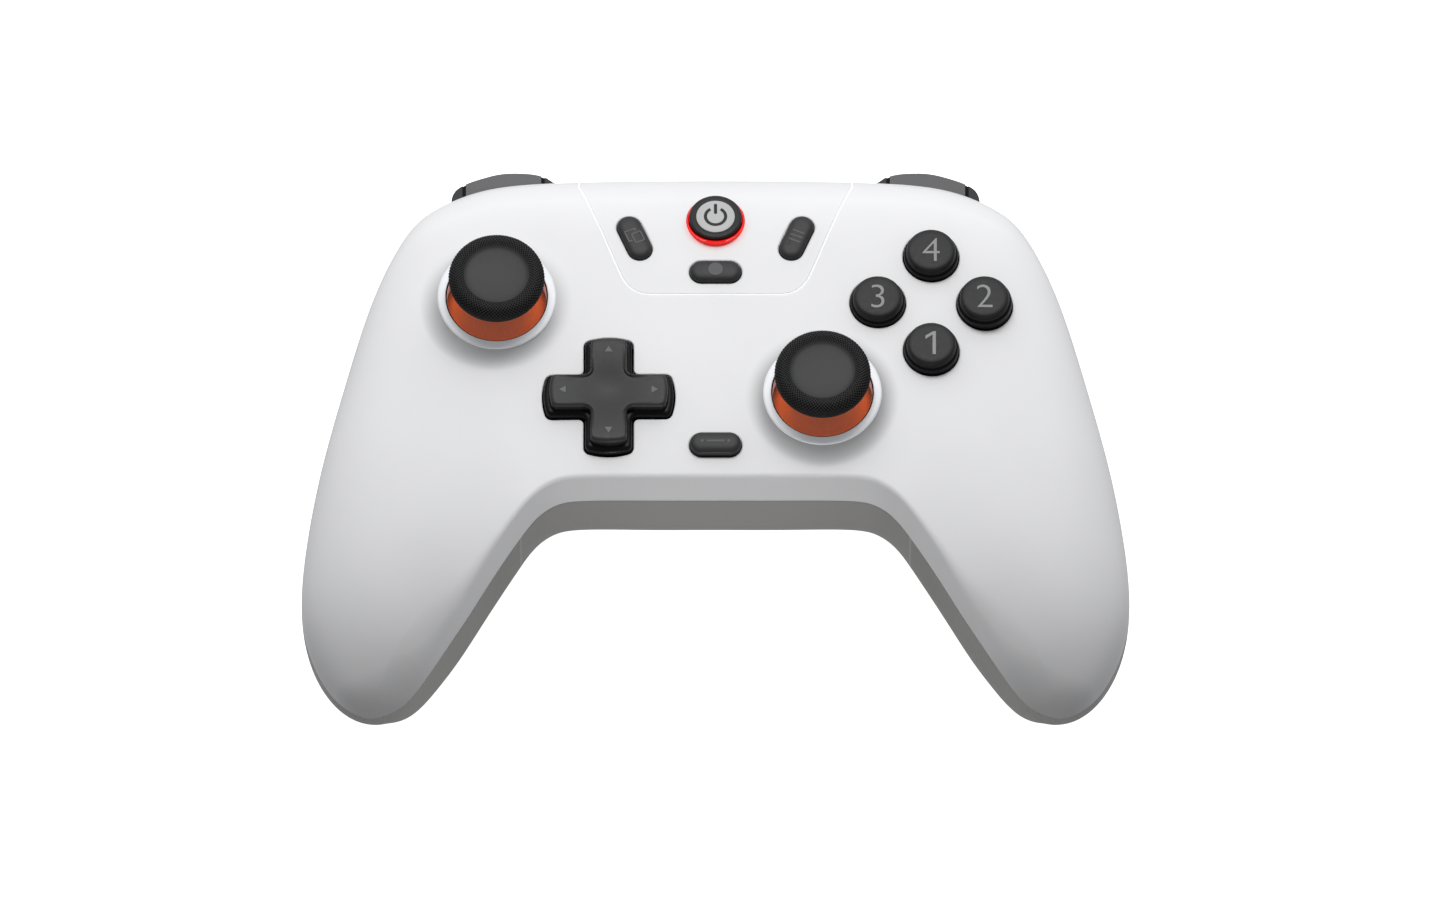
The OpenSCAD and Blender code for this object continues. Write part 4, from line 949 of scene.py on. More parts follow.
def split(ob, pick):
    """Splits a mesh into its loose parts: those for which pick(centre in the face frame) is true go to a new mesh."""
    bm = bmesh.new()
    bm.from_mesh(ob.data)
    seen, groups = set(), []
    for s in bm.verts:
        if s.index in seen:
            continue
        todo, part = [s], []
        seen.add(s.index)
        while todo:
            x = todo.pop()
            part.append(x)
            for e in x.link_edges:
                y = e.other_vert(x)
                if y.index not in seen:
                    seen.add(y.index)
                    todo.append(y)
        groups.append(part)
    keep, move = [], []
    for g in groups:
        c = np.mean([v.co for v in g], axis=0) * 1000 + np.array([0, Y_MID, -FACE_Z])
        (move if pick(c, len(g)) else keep).append(g)
    gone = {v.index for g in move for v in g}
    other = bm.copy()
    other.verts.ensure_lookup_table()
    bmesh.ops.delete(other, geom=[v for v in other.verts if v.index not in gone], context="VERTS")
    bmesh.ops.delete(bm, geom=[v for v in bm.verts if v.index in gone], context="VERTS")
    me2 = bpy.data.meshes.new("part")
    other.to_mesh(me2)
    bm.to_mesh(ob.data)
    bm.free()
    other.free()
    return me2


panel_me = split(front_ob, lambda c, n: abs(c[0]) < 2 and c[1] > 24 and n > 500)
boolean(front_ob, solid("bumper_cut", [cutter_box(s * 25.2 if s > 0 else -50.1, 50.1 if s > 0 else -25.2, 38, 58, -13.4, -5.3) for s in (1, -1)]))


def adopt(name, me, mat, node, surf, body="housing", smooth=32):
    me.materials.clear()
    me.materials.append(M[mat])
    finish_mesh(me, smooth)
    ob = bpy.data.objects.new(name, me)
    scene.collection.objects.link(ob)
    true_normals(ob, surf)
    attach(ob, body)
    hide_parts(node)
    return ob


front_me = front_ob.data
bpy.data.objects.remove(front_ob)
adopt("front_casing", front_me, "white", "front_shell", [FRONT] + [q for _, q in collars])
adopt("front_panel", panel_me, "panel", "centre_panel", [FRONT])


def joint_bead(path, w=0.4):
    """Fine bead along the casing's edge of the panel joint; its faint white glow is a painted highlight on the joint's
    edge.
    """
    d = np.gradient(path, axis=0)
    d /= np.linalg.norm(d, axis=1)[:, None]
    nor = np.array([FRONT.nearest(q)[1] for q in path])
    nor -= np.sum(nor * d, axis=1)[:, None] * d
    nor /= np.linalg.norm(nor, axis=1)[:, None]
    side_v = np.cross(nor, d)
    prof = [(0.02, -0.26), (0.02, -0.07), (0.06, -0.03), (0.14, -0.006), (0.24, -0.002), (w - 0.06, -0.012), (w, -0.04), (w, -0.26)]
    n = len(prof)
    verts = [tuple(path[i] + side_v[i] * a + nor[i] * h) for i in range(len(path)) for a, h in prof]
    faces = [(i * n + k, i * n + (k + 1) % n, (i + 1) * n + (k + 1) % n, (i + 1) * n + k) for i in range(len(path) - 1) for k in range(n)]
    faces += [tuple(range(n)), tuple(range((len(path) - 1) * n + n - 1, (len(path) - 1) * n - 1, -1))]
    return verts, faces


v, f = joint_bead(groove_path()[2:-2])
make("panel_joint", v, f, "bead", "housing", (), 60)

# ------------------------------------------------------------------ back casing
v, f, _ = grid_mesh(back_grid, back_in, np.array(TIP) - [0, 0, SEAM], TIP_IN - [0, 0, SEAM])
back_ob = solid("back_work", [(v, f)])
POSTS = [((57.5, 13), -26.4, -22.1, -31.5), ((60.5, -37), -33.4, -29.1, -41)]


def tube_solid(c, r0, r1, z0, z1, n=40):
    prof = [(r0, z0), (r1, z0), (r1, z1), (r0, z1)]
    return revolve(prof, c, n)[:2]


def rod(c, r, z0, z1, n=48):
    return revolve([(0, z0), (r, z0), (r, z1), (0, z1)], c, n)[:2]


posts = [rod((s * c[0], c[1]), 4.2, low, top) for c, seat, top, low in POSTS for s in (1, -1)]
boolean(back_ob, solid("posts", posts), "UNION")
holes = [rod((s * c[0], c[1]), 2.9, -60, seat) for c, seat, top, low in POSTS for s in (1, -1)]
boolean(back_ob, solid("screw_holes", holes))
holes = [rod((s * c[0], c[1]), 1.5, seat - 1, top + 2) for c, seat, top, low in POSTS for s in (1, -1)]
boolean(back_ob, solid("screw_bores", holes))
sec = stadium((0, 0), 9.5, 3.8, 0)
rings = [np.column_stack([sec[:, 0], np.full(len(sec), y), sec[:, 1] - 17.4]) for y in (40, 60)]
n = len(sec)
usb_cut = ([tuple(p) for q in rings for p in q], [(i, (i + 1) % n, n + (i + 1) % n, n + i) for i in range(n)] + [tuple(range(n)), tuple(range(2 * n - 1, n - 1, -1))])


def rrect(c, w, h, r, n=8):
    a, b = w / 2 - r, h / 2 - r
    return np.vstack([arc(a, b, r, 0, 90, n), arc(-a, b, r, 90, 180, n), arc(-a, -b, r, 180, 270, n), arc(a, -b, r, 270, 360, n)]) + np.asarray(c)


lab = loft([at_z(rrect((0, 14), 34, 20, 1.4), -30.6), at_z(rrect((0, 14), 34, 20, 1.4), -29.4)])[:2]
boolean(back_ob, solid("back_cuts", [usb_cut, lab]))
TRIG_X, TRIG_W = 38.5, 20
boolean(back_ob, solid("trigger_cut", [cutter_box(*(sorted((s * (TRIG_X - 10.4), s * (TRIG_X + 10.4)))), 31.8, 60, -70, -12.6, 0.6) for s in (1, -1)]))
boolean(back_ob, solid("bumper_cut2", [cutter_box(s * 25.2 if s > 0 else -50.1, 50.1 if s > 0 else -25.2, 38, 58, -13.4, -5.3) for s in (1, -1)]))
back_me = back_ob.data
bpy.data.objects.remove(back_ob)
adopt("back_casing", back_me, "grey", "back_shell", [BACK])

# ------------------------------------------------------------------ sticks
KNURL = 0.26
for name, c, body in (("left", LEFT_STICK, "left_stick"), ("right", RIGHT_STICK, "right_stick")):
    prof = [(9.32, 11.4), (9.6, 9.5), (10.28, 9.5), (10.28, 13.55), (10.95, 13.6), (11.08, 13.7), (11.12, 13.84), (11.09, 14.0), (11.0, 14.12), (10.84, 14.18),
            (10.6, 14.2), (9.85, 14.2), (9.62, 14.16), (9.46, 14.06), (9.36, 13.9), (9.31, 13.66)]
    v, f, own = revolve([(r, z + PIVOT_Z) for r, z in prof], c, 144)
    # the ring's inner lip faces take the gap black: painted shadow of the gap round the stem
    make(name + "_ring", v, f, ["ring", "gap"], "housing", [name + "_stick_ring"], 40, [1 if o in (12, 13) else 0 for o in own])
    dome = [(0, -1.5), (1.3, -1.5), (1.5, -1.3), (1.5, 9.9), (2.4, 10.2)] + [(11.6 * math.sin(math.radians(a)), 11.6 * math.cos(math.radians(a))) for a in range(18, 67, 4)]
    dome += [(12.75 * math.sin(math.radians(66)), 12.5 * math.cos(math.radians(66)))]
    dome += [(12.8 * math.sin(math.radians(a)), 12.8 * math.cos(math.radians(a))) for a in range(65, 29, -3)]
    dome += [(5.9, 11.42), (5.4, 11.72), (4.95, 12.05), (4.6, 12.45), (4.35, 12.95), (4.15, 13.6), (4.0, 14.4), (3.9, 15.3), (3.82, 16.2), (3.8, 17.15), (0, 17.15)]
    v, f, _ = revolve([(r, z + PIVOT_Z) for r, z in dome], c, 128)
    make(name + "_dome", v, f, "orange", body, [name + "_stick_stem"], 50)
    # cap: plain underside, knurled rim, smooth dished top
    under = [(0, 17.2), (4.3, 17.2), (4.45, 17.23), (5.4, 17.72), (6.1, 18.25), (6.8, 18.77), (7.5, 19.1), (8.2, 19.38)]
    ctrl = [(8.2, 19.38), (8.64, 19.7), (8.9, 20.2), (9.03, 20.75), (9.05, 21.25), (8.96, 21.8), (8.72, 22.34), (8.35, 22.8), (7.85, 23.1), (7.3, 23.22), (6.75, 23.17), (6.3, 23.02), (6.0, 22.86)]
    rim = smooth_loop(ctrl, 3, False)
    top = [(5.86, 22.79), (5.65, 22.71), (5.3, 22.64), (4.8, 22.58), (4.2, 22.52), (3.3, 22.45), (2.2, 22.4), (1.1, 22.37), (0, 22.36)]
    prof = under + [tuple(p) for p in rim[1:]] + top
    first, last = len(under), len(under) + len(rim) - 2
    NT = 80
    tang = np.gradient(np.array(prof), axis=0)
    tang /= np.maximum(np.linalg.norm(tang, axis=1), 1e-9)[:, None]

    def knurl(k, a, first=first, last=last, tang=tang):
        if k < first + 2 or k > last - 2:
            return 0 * a, 0 * a
        w = min(1, (k - first - 1) / 3, (last - 1 - k) / 4)
        d = -KNURL * w * (0.5 - 0.5 * np.cos(NT * a) * math.cos((k - first) * math.pi / 2))
        return d * tang[k, 1], -d * tang[k, 0]

    v, f, own = revolve([(r, z + PIVOT_Z) for r, z in prof], c, 4 * NT, knurl)
    # painted highlight: raised knurl points take a lighter rubber than the hollows between them
    col = []
    for q, o in enumerate(own):
        point = math.cos(NT * (q % (4 * NT) + 0.5) * 2 * math.pi / (4 * NT)) * math.cos((o + 0.5 - first) * math.pi / 2) > 0
        col.append(1 if o >= last - 1 else 2 if point and first + 2 < o else 0)
    make(name + "_cap", v, f, ["rubber", "rubber_top", "rubber_tip"], body, [name + "_stick_cap"], 60, col)


# ------------------------------------------------------------------ glyph tools
def bar(x0, y0, x1, y1, w, z0, z1):
    """Round-ended bar between two points."""
    d = math.hypot(x1 - x0, y1 - y0)
    loop = stadium(((x0 + x1) / 2, (y0 + y1) / 2), d + w, w, math.degrees(math.atan2(y1 - y0, x1 - x0)), 8)
    return loft([at_z(loop, z0), at_z(loop, z1)])[:2]


def plate(loop, z0, z1):
    return loft([at_z(np.asarray(loop, float), z0), at_z(np.asarray(loop, float), z1)])[:2]


def hoop(outer, inner, z0, z1):
    """Flat ring between two loops of equal count."""
    n = len(outer)
    v = [tuple(p) for l, z in ((outer, z0), (outer, z1), (inner, z1), (inner, z0)) for p in at_z(np.asarray(l, float), z)]
    f = [(a * n + i, a * n + (i + 1) % n, b * n + (i + 1) % n, b * n + i) for a, b in ((0, 1), (1, 2), (2, 3), (3, 0)) for i in range(n)]
    return v, f


def open_hoop(c, r0, r1, a0, a1, z0, z1, n=48):
    loop = np.vstack([arc(c[0], c[1], r1, a0, a1, n), arc(c[0], c[1], r0, a1, a0, n)])
    return plate(loop, z0, z1)


def glyph(name, parts, mat, body, smooth=30):
    verts, faces = [], []
    for v, f in parts:
        k = len(verts)
        verts += [tuple(x) for x in v]
        faces += [tuple(i + k for i in q) for q in f]
    return make(name, verts, faces, mat, body, (), smooth)


def turn(parts, c, ang):
    a = math.radians(ang)
    R = np.array([[math.cos(a), math.sin(a)], [-math.sin(a), math.cos(a)]])
    return [(np.column_stack([np.asarray(v)[:, :2] @ R + np.asarray(c), np.asarray(v)[:, 2]]), f) for v, f in parts]


def numeral(name, text, c, z, height, body):
    if text == "1":
        h = height / 2
        loop = [(0.08, -h), (0.7, -h), (0.7, h), (0.16, h), (-1.25, h - 0.95), (-1.25, h - 1.62), (0.08, h - 0.72)]
        v, f = plate(np.array(loop) + np.array([c[0] + 0.15, c[1]]), z - 0.25, z)
        return make(name, v, f, "glyph", body, (), 30)
    cu = bpy.data.curves.new(name + "_t", "FONT")
    cu.body = text
    cu.align_x, cu.align_y = "CENTER", "CENTER"
    cu.size = 1.0
    cu.extrude = 0.02
    cu.offset = -0.012
    cu.resolution_u = 8
    ob = bpy.data.objects.new(name + "_t", cu)
    scene.collection.objects.link(ob)
    dg = bpy.context.evaluated_depsgraph_get()
    me = bpy.data.meshes.new_from_object(ob.evaluated_get(dg))
    co = np.array([v.co for v in me.vertices])
    faces = [tuple(p.vertices) for p in me.polygons]
    bpy.data.objects.remove(ob)
    bpy.data.curves.remove(cu)
    bpy.data.meshes.remove(me)
    s = height / (co[:, 1].max() - co[:, 1].min())
    co[:, :2] -= (co[:, :2].max(0) + co[:, :2].min(0)) / 2
    co[:, :2] *= s
    zz = np.where(co[:, 2] > 0, z, z - 0.25)
    verts = np.column_stack([co[:, 0] + c[0], co[:, 1] + c[1], zz])
    return make(name, verts, faces, "glyph", body, (), 30)


# ------------------------------------------------------------------ round buttons
for k, (name, num) in enumerate((("south", "1"), ("east", "2"), ("west", "3"), ("north", "4"))):
    c = BUTTONS[name]
    prof = [(0, -4.9), (5.95, -4.9), (6.08, -4.8), (6.08, -4.3), (5.95, -4.2), (5.1, -4.2), (5.12, -2.6), (5.12, 0.75), (5.1, 0.98), (5.04, 1.17), (4.96, 1.3), (4.86, 1.38),
            (4.78, 1.41), (4.72, 1.45), (4.69, 1.53), (4.68, 1.75), (4.65, 2.15), (4.57, 2.47), (4.43, 2.72), (4.23, 2.88), (3.95, 2.97), (3.4, 3.01), (2.4, 3.025), (1.4, 3.035), (0, 3.04)]
    v, f, own = revolve(prof, c, 112)
    # the side wall is near-black against the charcoal top: painted shade
    make("button_" + name + "_cap", v, f, ["button", "button_side"], "button_" + name, ["button_" + name], 35, [1 if o < 17 else 0 for o in own])
    numeral("button_" + name + "_mark", num, c, 3.06, 4.9, "button_" + name)

# ------------------------------------------------------------------ cross pad
dz = -2.6
sk = lambda o: cross(DPAD, 24.4 + 2 * o, 8.8 + 2 * o, 1.3 + o, max(0.25, 0.9 - o))
tp = lambda o: cross(DPAD, 22.2 + 2 * o, 6.8 + 2 * o, 1.0 + o, max(0.25, 1.2 - o))


def dish(x, y):
    r2 = (x - DPAD[0]) ** 2 + (y - DPAD[1]) ** 2
    return 3.4 - 1.05 * math.exp(-r2 / 34)


rings = [at_z(sk(-0.3), -4.4), at_z(sk(0), -4.1), at_z(sk(0), 0.55), at_z(sk(-0.05), 0.8), at_z(sk(-0.2), 1.02), at_z(sk(-0.42), 1.15), at_z(sk(-0.75), 1.2)]
rings += [at_z(tp(0.12), 1.25), at_z(tp(0.06), 1.5), at_z(tp(0.0), 2.6), at_z(tp(-0.04), 2.86), at_z(tp(-0.16), 3.1), at_z(tp(-0.36), 3.28)]
l = tp(-0.62)
rings.append(at_z(l, np.array([min(3.37, dish(x, y) - 0.02) for x, y in l])))
l = tp(-0.95)
rings.append(at_z(l, np.array([dish(x, y) for x, y in l])))
v, f, own = loft(rings, dish, None, 0.55)
# the skirt is near-black against the charcoal top: painted shade
make("dpad_pad", v, f, ["dpad", "gloss"], "dpad_cross", ["dpad_cross"], 42, [1 if o < 9 else 0 for o in own])
tri = []
for k in range(4):
    a = 90 * k
    z = dish(DPAD[0] + 8.6, DPAD[1])
    p = np.array([(9.25, 0), (8.05, 0.72), (8.05, -0.72)])
    tri += turn([plate(p, z - 0.2, z + 0.035)], DPAD, a)
glyph("dpad_marks", tri, "glyph_pad", "dpad_cross")

# ------------------------------------------------------------------ small buttons
for name, c, ang, z0 in (("view", VIEW, 90 + LEAN, 0.3), ("menu", MENU, 90 - LEAN, 0.3), ("capture", CAPTURE, 0, 0.4), ("mode", MODE, 0, 0.3)):
    st = lambda o, c=c, ang=ang: stadium(c, PILL_L + 2 * o, PILL_W + 2 * o, ang)
    rings = [at_z(st(0.9), z0 - 4), at_z(st(0.9), z0 - 2.95), at_z(st(0.0), z0 - 2.85), at_z(st(0), z0 + 0.4), at_z(st(-0.04), z0 + 0.6), at_z(st(-0.15), z0 + 0.79),
             at_z(st(-0.33), z0 + 0.94), at_z(st(-0.58), z0 + 1.05), at_z(st(-0.9), z0 + 1.13), at_z(st(-1.3), z0 + 1.18)]
    v, f, own = loft(rings, lambda x, y, z0=z0: z0 + 1.2, None, 0.8)
    make(name + "_key", v, f, "pill", name + "_button", [name + "_button"], 40)
    zt = z0 + 1.2
    if name == "capture":
        g = [plate(circle((0, 0.15), 1.35, 40), zt - 0.15, zt + 0.03)]
    elif name == "mode":
        g = [bar(-1.5, 0.1, 1.5, 0.1, 0.42, zt - 0.15, zt + 0.03), plate(circle((-2.5, 0.1), 0.3, 20), zt - 0.15, zt + 0.03), plate(circle((2.5, 0.1), 0.3, 20), zt - 0.15, zt + 0.03)]
    elif name == "menu":
        g = [bar(-1.1, y, 1.1, y, 0.3, zt - 0.15, zt + 0.03) for y in (1.0, 0.0, -1.0)]
    else:
        a = rrect((0.55, -0.45), 2.0, 2.3, 0.25)
        g = [hoop(a, inset_loop(a, 0.28), zt - 0.15, zt + 0.03), plate([(-1.5, -0.9), (-0.75, -0.9), (-0.75, -0.62), (-1.22, -0.62), (-1.22, 1.32), (0.5, 1.32), (0.5, 0.95), (0.78, 0.95), (0.78, 1.6), (-1.5, 1.6)], zt - 0.15, zt + 0.03)]
    lean = {"view": LEAN, "menu": -LEAN}.get(name, 0)
    glyph(name + "_mark", turn(g, c, lean), "glyph_dim", name + "_button")

# ------------------------------------------------------------------ home button and its light
prof = [(0, -4.6), (5.45, -4.6), (5.52, -4.52), (5.52, -4.18), (5.45, -4.1), (4.75, -4.1), (4.75, 0.85), (4.86, 0.94), (4.94, 1.06), (4.96, 1.2), (4.92, 1.36), (4.8, 1.49), (4.56, 1.57), (4.2, 1.61),
        (3.78, 1.62), (3.72, 1.59), (3.66, 1.59), (2, 1.61), (0, 1.62)]


def slope(verts):
    """Tips the upper part of the home button to the panel's slope."""
    q = np.array(verts, float)
    q[:, 2] -= np.where(q[:, 2] > 0.6, 0.112 * (q[:, 1] - HOME[1]), 0)
    return q


v, f, own = revolve(prof, HOME, 112)
v = slope(v)
# the side wall is near-black against the charcoal top: painted shade
make("home_key", v, f, ["button", "button_side"], "home_button", ["home_button"], 35, [1 if o < 8 else 0 for o in own])
v, f, _ = revolve([(0, 1.46), (3.6, 1.46), (3.6, 1.62), (3.54, 1.65), (2, 1.66), (0, 1.66)], HOME, 96)
v = slope(v)
make("home_badge", v, f, "glyph_light", "home_button", (), 30)
g = [open_hoop(HOME, 1.6, 2.2, 120, 420, 1.56, 1.69), bar(HOME[0], HOME[1] + 0.85, HOME[0], HOME[1] + 2.6, 0.6, 1.56, 1.69)]
glyph("home_mark", [(slope(q), f) for q, f in g], "button", "home_button")


def glow_loop(r, dz, dy=0.0):
    """Circle round the home button, which follows the panel's slope and stands higher at the near side."""
    l = circle((HOME[0], HOME[1] - dy), r, 112)
    near = np.clip((HOME[1] - l[:, 1]) / 5.3, 0, 1)
    return at_z(l, 0.3 - 0.112 * (l[:, 1] - HOME[1]) + 0.55 * near + dz)


rings = [at_z(glow_loop(5.06, 0)[:, :2], -2.9), at_z(glow_loop(5.46, 0, 0.24)[:, :2], -2.9), glow_loop(5.46, -0.12, 0.24), glow_loop(5.44, -0.04, 0.24), glow_loop(5.4, 0.0, 0.24), glow_loop(5.12, 0.0), glow_loop(5.08, -0.04), glow_loop(5.06, -0.12)]
n = len(rings[0])
verts = [tuple(q) for r in rings for q in r]
faces = [(k * n + i, k * n + (i + 1) % n, ((k + 1) % len(rings)) * n + (i + 1) % n, ((k + 1) % len(rings)) * n + i) for k in range(len(rings)) for i in range(n)]
make("home_light", verts, faces, "light", "housing", ["home_light_ring"], 50)

# ------------------------------------------------------------------ bumpers
PLAN = [(25.6, 49.3), (28, 49.5), (30.4, 50.0), (31.6, 50.9), (32.9, 51.45), (34.6, 51.83), (37.2, 52.0), (39.4, 51.95), (41.5, 51.6), (43.5, 51.0), (45.5, 50.3), (47.2, 49.5), (48.7, 48.4), (49.5, 46.9), (49.7, 44)]
front_line = smooth_loop(PLAN, 8, False)


def bumper_part(x0, x1, mirror, z0=-13.0, z1=-5.6, back=41.7, r=0.4, shrink=0.0):
    """One length of the bumper between two x, rounded along its top and bottom edges."""
    ys = lambda x: np.interp(x, front_line[:, 0], front_line[:, 1])
    xs = np.linspace(x0, x1, max(6, int((x1 - x0) / 0.5)))
    xs = np.clip(xs, None, 49.7)
    fr = np.array([(x, ys(x) - shrink) for x in xs])
    if x1 > 49:
        tail = front_line[front_line[:, 0] > 48.6]
        fr = np.vstack([fr[fr[:, 0] < 48.5], tail - [0, shrink]])
    bk = back
    loop = np.vstack([fr[::-1], [(x0, bk)], [(fr[-1, 0], bk)]])
    loop = loop[::-1] if np.sum(loop[:, 0] * np.roll(loop[:, 1], -1) - np.roll(loop[:, 0], -1) * loop[:, 1]) < 0 else loop
    rings = [(0.35, z0), (0.1, z0 + 0.1), (0.0, z0 + 0.35)]
    rings += [(0.0, z1 - r), (0.07 * r, z1 - 0.62 * r), (0.29 * r, z1 - 0.29 * r), (0.62 * r, z1 - 0.07 * r), (r, z1)]
    out = []
    for off, z in rings:
        q = inset_loop(loop, min(off, 0.06 if off else 0))
        # only the front edge draws back by the full radius
        dyf = off - min(off, 0.06)
        q[:, 1] -= np.where(loop[:, 1] > bk + 1, dyf, 0)
        out.append(at_z(q, z))
    v, f, _ = loft(out)
    v = np.array(v)
    if mirror:
        v[:, 0] *= -1
    return v, f


for s, name in ((False, "right"), (True, "left")):
    v, f = bumper_part(32.7, 46.95, s)
    make(name + "_bumper_key", v, f, "bumper", name + "_bumper", [name + "_bumper"], 40)
    # the ends take a darker grey than the key: painted shade
    parts = [bumper_part(25.6, 32.15, s), bumper_part(47.5, 49.7, s)]
    verts, faces = [], []
    for v, f in parts:
        k = len(verts)
        verts += [tuple(x) for x in v]
        faces += [tuple(i + k for i in q) for q in f]
    make(name + "_bumper_ends", verts, faces, "bumper_end", name + "_bumper", (), 40)
    # the core's black, seen through the bumper's gaps, is painted shade
    v, f = bumper_part(31.4, 48.0, s, -12.6, -5.72, 46.6, 0.4, 0.14)
    make(name + "_bumper_core", v, f, "gap", name + "_bumper", (), 40)

# ------------------------------------------------------------------ triggers
TRIG = [(43, -14.7), (46, -14.65), (48.6, -14.8), (50.3, -15.6), (51.35, -17.4), (51.8, -21), (51.55, -26), (50.9, -31), (50.7, -35.5), (51.35, -39), (52.65, -41.4),
        (54.15, -43.2), (54.4, -44.0), (53.75, -44.85), (51.4, -45.7), (48.4, -46.06), (46.3, -46.04), (45.15, -45.2), (44.6, -43), (43.8, -38), (42.3, -33), (39.75, -28.5),
        (36.7, -25.1), (36.1, -22.1), (38, -18.2), (40.1, -15.6)]
tl = smooth_loop(TRIG, 5)
area = np.sum(tl[:, 0] * np.roll(tl[:, 1], -1) - np.roll(tl[:, 0], -1) * tl[:, 1])
if area < 0:
    tl = tl[::-1]
for s, name in ((1, "right"), (-1, "left")):
    R = 1.15
    xs = [(R * (1 - math.cos(math.radians(a))), R * (1 - math.sin(math.radians(a)))) for a in (0, 18, 36, 54, 72, 90)]
    seq = [(x - 10, o) for x, o in xs] + [(x, 0) for x in np.linspace(-7.6, 7.6, 15)] + [(10 - x, o) for x, o in xs[::-1]]
    verts, faces = [], []
    n = len(tl)
    for x, o in seq:
        q = inset_loop(tl, o)
        # the finger side is crowned across its width, and the lever narrows to a rounded end
        low = np.clip((-q[:, 1] - 24) / 22.2, 0, 1)
        end = np.clip((-q[:, 1] - 39.5) / 6.9, 0, 1)
        half = 10 - 1.5 * low ** 1.6 - 3.4 * (1 - np.sqrt(1 - end ** 2 * 0.96))
        y = q[:, 0] - 1.3 * (x / 10) ** 2 * np.clip((q[:, 0] - 45) / 5, 0, 1)
        verts += [(s * (TRIG_X + x / 10 * half[k]), y[k], q[k, 1]) for k in range(n)]
    for k in range(len(seq) - 1):
        faces += [(k * n + i, k * n + (i + 1) % n, (k + 1) * n + (i + 1) % n, (k + 1) * n + i) for i in range(n)]
    faces += [tuple(range(n)), tuple(range(len(seq) * n - 1, (len(seq) - 1) * n - 1, -1))]
    ob = make(name + "_trigger_lever", verts, faces, "trigger", name + "_trigger", [name + "_trigger"], 40)

# ------------------------------------------------------------------ carried-over CAD nodes
CAD_MAT = {"rear_label_plate": "label", "case_screws": "steel", "main_board": "board", "board_chips": "chip", "button_board": "board", "board_screws": "steel",
           "battery_pack": "battery", "usb_c_socket": "steel", "left_stick_base": "dark", "right_stick_base": "dark", "stick_springs": "steel", "left_stick_arm": "nylon",
           "right_stick_arm": "nylon", "left_stick_arch": "dark", "right_stick_arch": "dark", "left_stick_trunnion": "nylon", "right_stick_trunnion": "nylon",
           "dpad_fork": "dark", "dpad_pivot": "nylon", "dpad_membrane": "membrane", "face_button_membrane": "membrane", "tact_switches": "steel",
           "left_trigger_bracket": "dark", "right_trigger_bracket": "dark", "trigger_pins": "steel", "trigger_springs": "steel", "bumper_pins": "steel",
           "bumper_switches": "chip", "left_rumble_motor": "steel", "right_rumble_motor": "steel", "left_rumble_weight": "weight", "right_rumble_weight": "weight"}
for node, ob in NODES.items():
    if ob.hide_render:
        continue
    ob.data.materials.clear()
    ob.data.materials.append(M[CAD_MAT[node]])
    ob.data.shade_smooth()
    ob.data.set_sharp_from_angle(angle=math.radians(30))

# ------------------------------------------------------------------ floor, light, camera
me = bpy.data.meshes.new("floor")
S, D = 6.0, 6.0
me.from_pydata([(-S, -D, 0), (S, -D, 0), (S, D, 0), (-S, D, 0)], [], [(0, 1, 2, 3)])
floor = bpy.data.objects.new("floor", me)
scene.collection.objects.link(floor)
fm, nt, p = mat_new("floor_pale")
fn = noise(nt, 3.0, 2.0)
nt.links.new(mixcol(nt, ramp(nt, fn.outputs["Fac"], 0.3, 0.7, 0, 1), (0.93, 0.93, 0.93), (0.95, 0.95, 0.95)), p.inputs["Base Color"])
p.inputs["Roughness"].default_value = 0.8
p.inputs["Specular IOR Level"].default_value = 0.1
p.inputs["Emission Color"].default_value = (1, 1, 1, 1)
p.inputs["Emission Strength"].default_value = 1.0
me.materials.append(fm)
floor.visible_diffuse = False
floor.visible_glossy = False

wd = bpy.data.worlds.new("studio")
scene.world = wd
wd.use_nodes = True
wn = wd.node_tree
bg = wn.nodes["Background"]
bg.inputs["Color"].default_value = (0.985, 0.99, 1.0, 1)
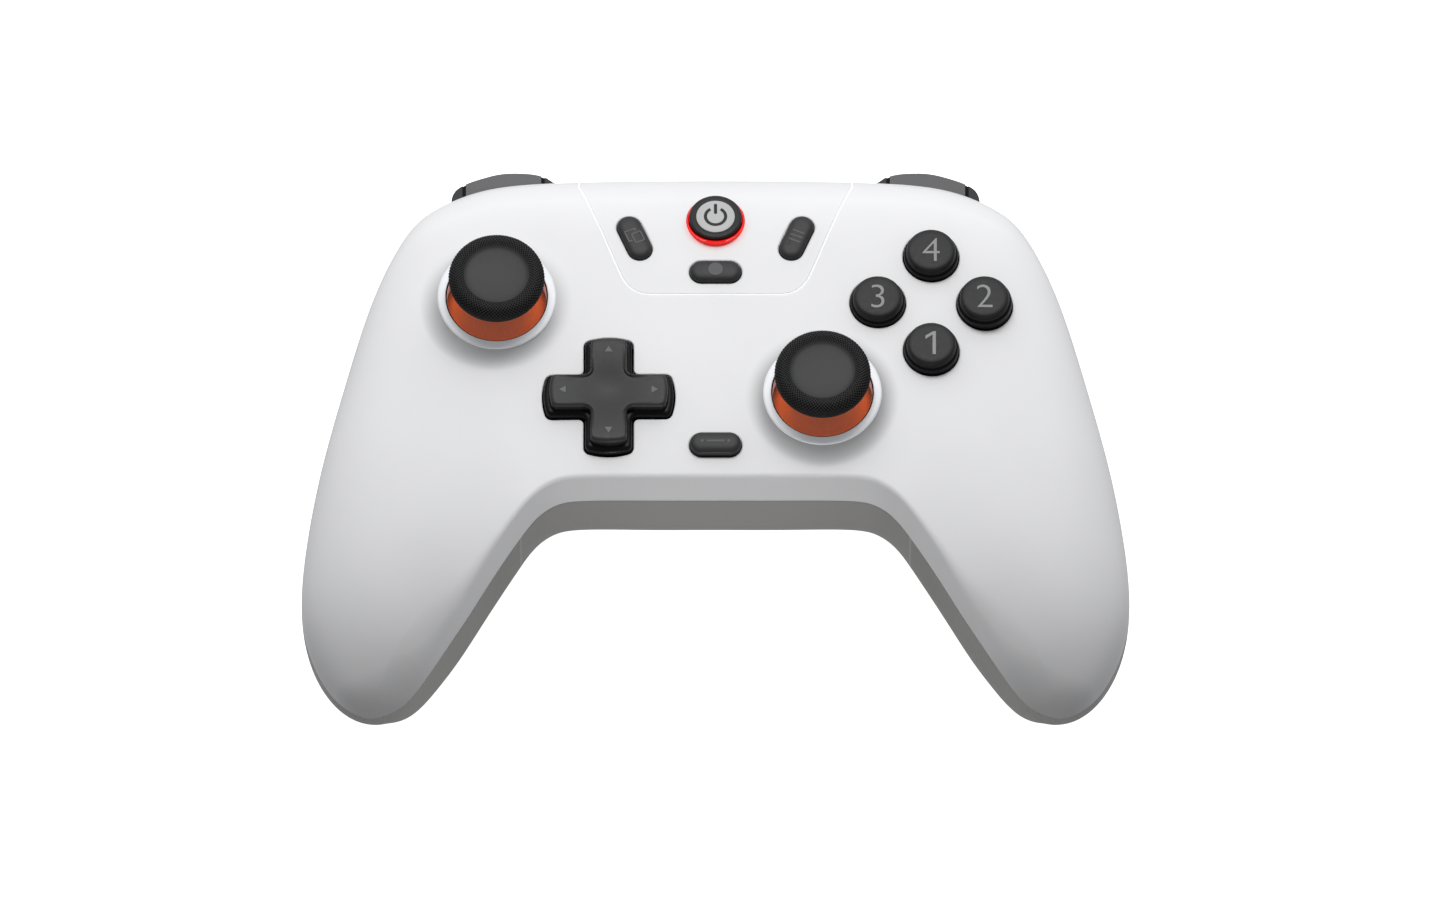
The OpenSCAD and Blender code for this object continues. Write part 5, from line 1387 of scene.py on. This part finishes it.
# the studio's back wall is the bright one
way = wn.nodes.new("ShaderNodeTexCoord")
sep = wn.nodes.new("ShaderNodeSeparateXYZ")
wn.links.new(way.outputs["Generated"], sep.inputs[0])
wn.links.new(math_node(wn, "ADD", math_node(wn, "MULTIPLY", math_node(wn, "MAXIMUM", sep.outputs["Y"], 0.0), 0.79), 0.258), bg.inputs["Strength"])


def area_light(name, loc, target, sx, sy, power, col=(1, 1, 1)):
    d = bpy.data.lights.new(name, "AREA")
    d.shape = "RECTANGLE"
    d.size, d.size_y = sx, sy
    d.energy = power
    d.color = col
    o = bpy.data.objects.new(name, d)
    o.location = loc
    o.rotation_mode = "QUATERNION"
    o.rotation_quaternion = (Vector(target) - Vector(loc)).to_track_quat("-Z", "Y")
    scene.collection.objects.link(o)
    return o


def spot_light(name, loc, target, cone, soft, power):
    d = bpy.data.lights.new(name, "SPOT")
    d.energy, d.spot_size, d.spot_blend, d.shadow_soft_size = power, math.radians(cone), 1.0, soft
    o = bpy.data.objects.new(name, d)
    o.location = loc
    o.rotation_mode = "QUATERNION"
    o.rotation_quaternion = (Vector(target) - Vector(loc)).to_track_quat("-Z", "Y")
    scene.collection.objects.link(o)
    return o


area_light("back_wide", (0, 0.42, 0.42), (0, 0.0, 0.03), 0.7, 0.35, 0.25)
area_light("back_top", (0, 0.3, 0.7), (0, 0.0, 0.03), 0.5, 0.2, 2.55)
spot_light("front_fill", (0, -0.2, 0.0), (0, -0.018, 0.04), 46, 0.03, 0.72)

cam_d = bpy.data.cameras.new("camera")
cam = bpy.data.objects.new("camera", cam_d)
scene.collection.objects.link(cam)
DIST, EL = 7.0, math.radians(61)
cam_d.sensor_width = 36
cam_d.lens = 36 * DIST / 0.26739
target = Vector((-0.0001, -0.01169, 0.0462))
back = Vector((0, -math.cos(EL), math.sin(EL)))
cam.location = target + back * DIST
cam.rotation_mode = "QUATERNION"
cam.rotation_quaternion = (-back).to_track_quat("-Z", "Y")
cam_d.clip_start, cam_d.clip_end = 0.05, 50
scene.camera = cam
scene.view_settings.view_transform = "Standard"
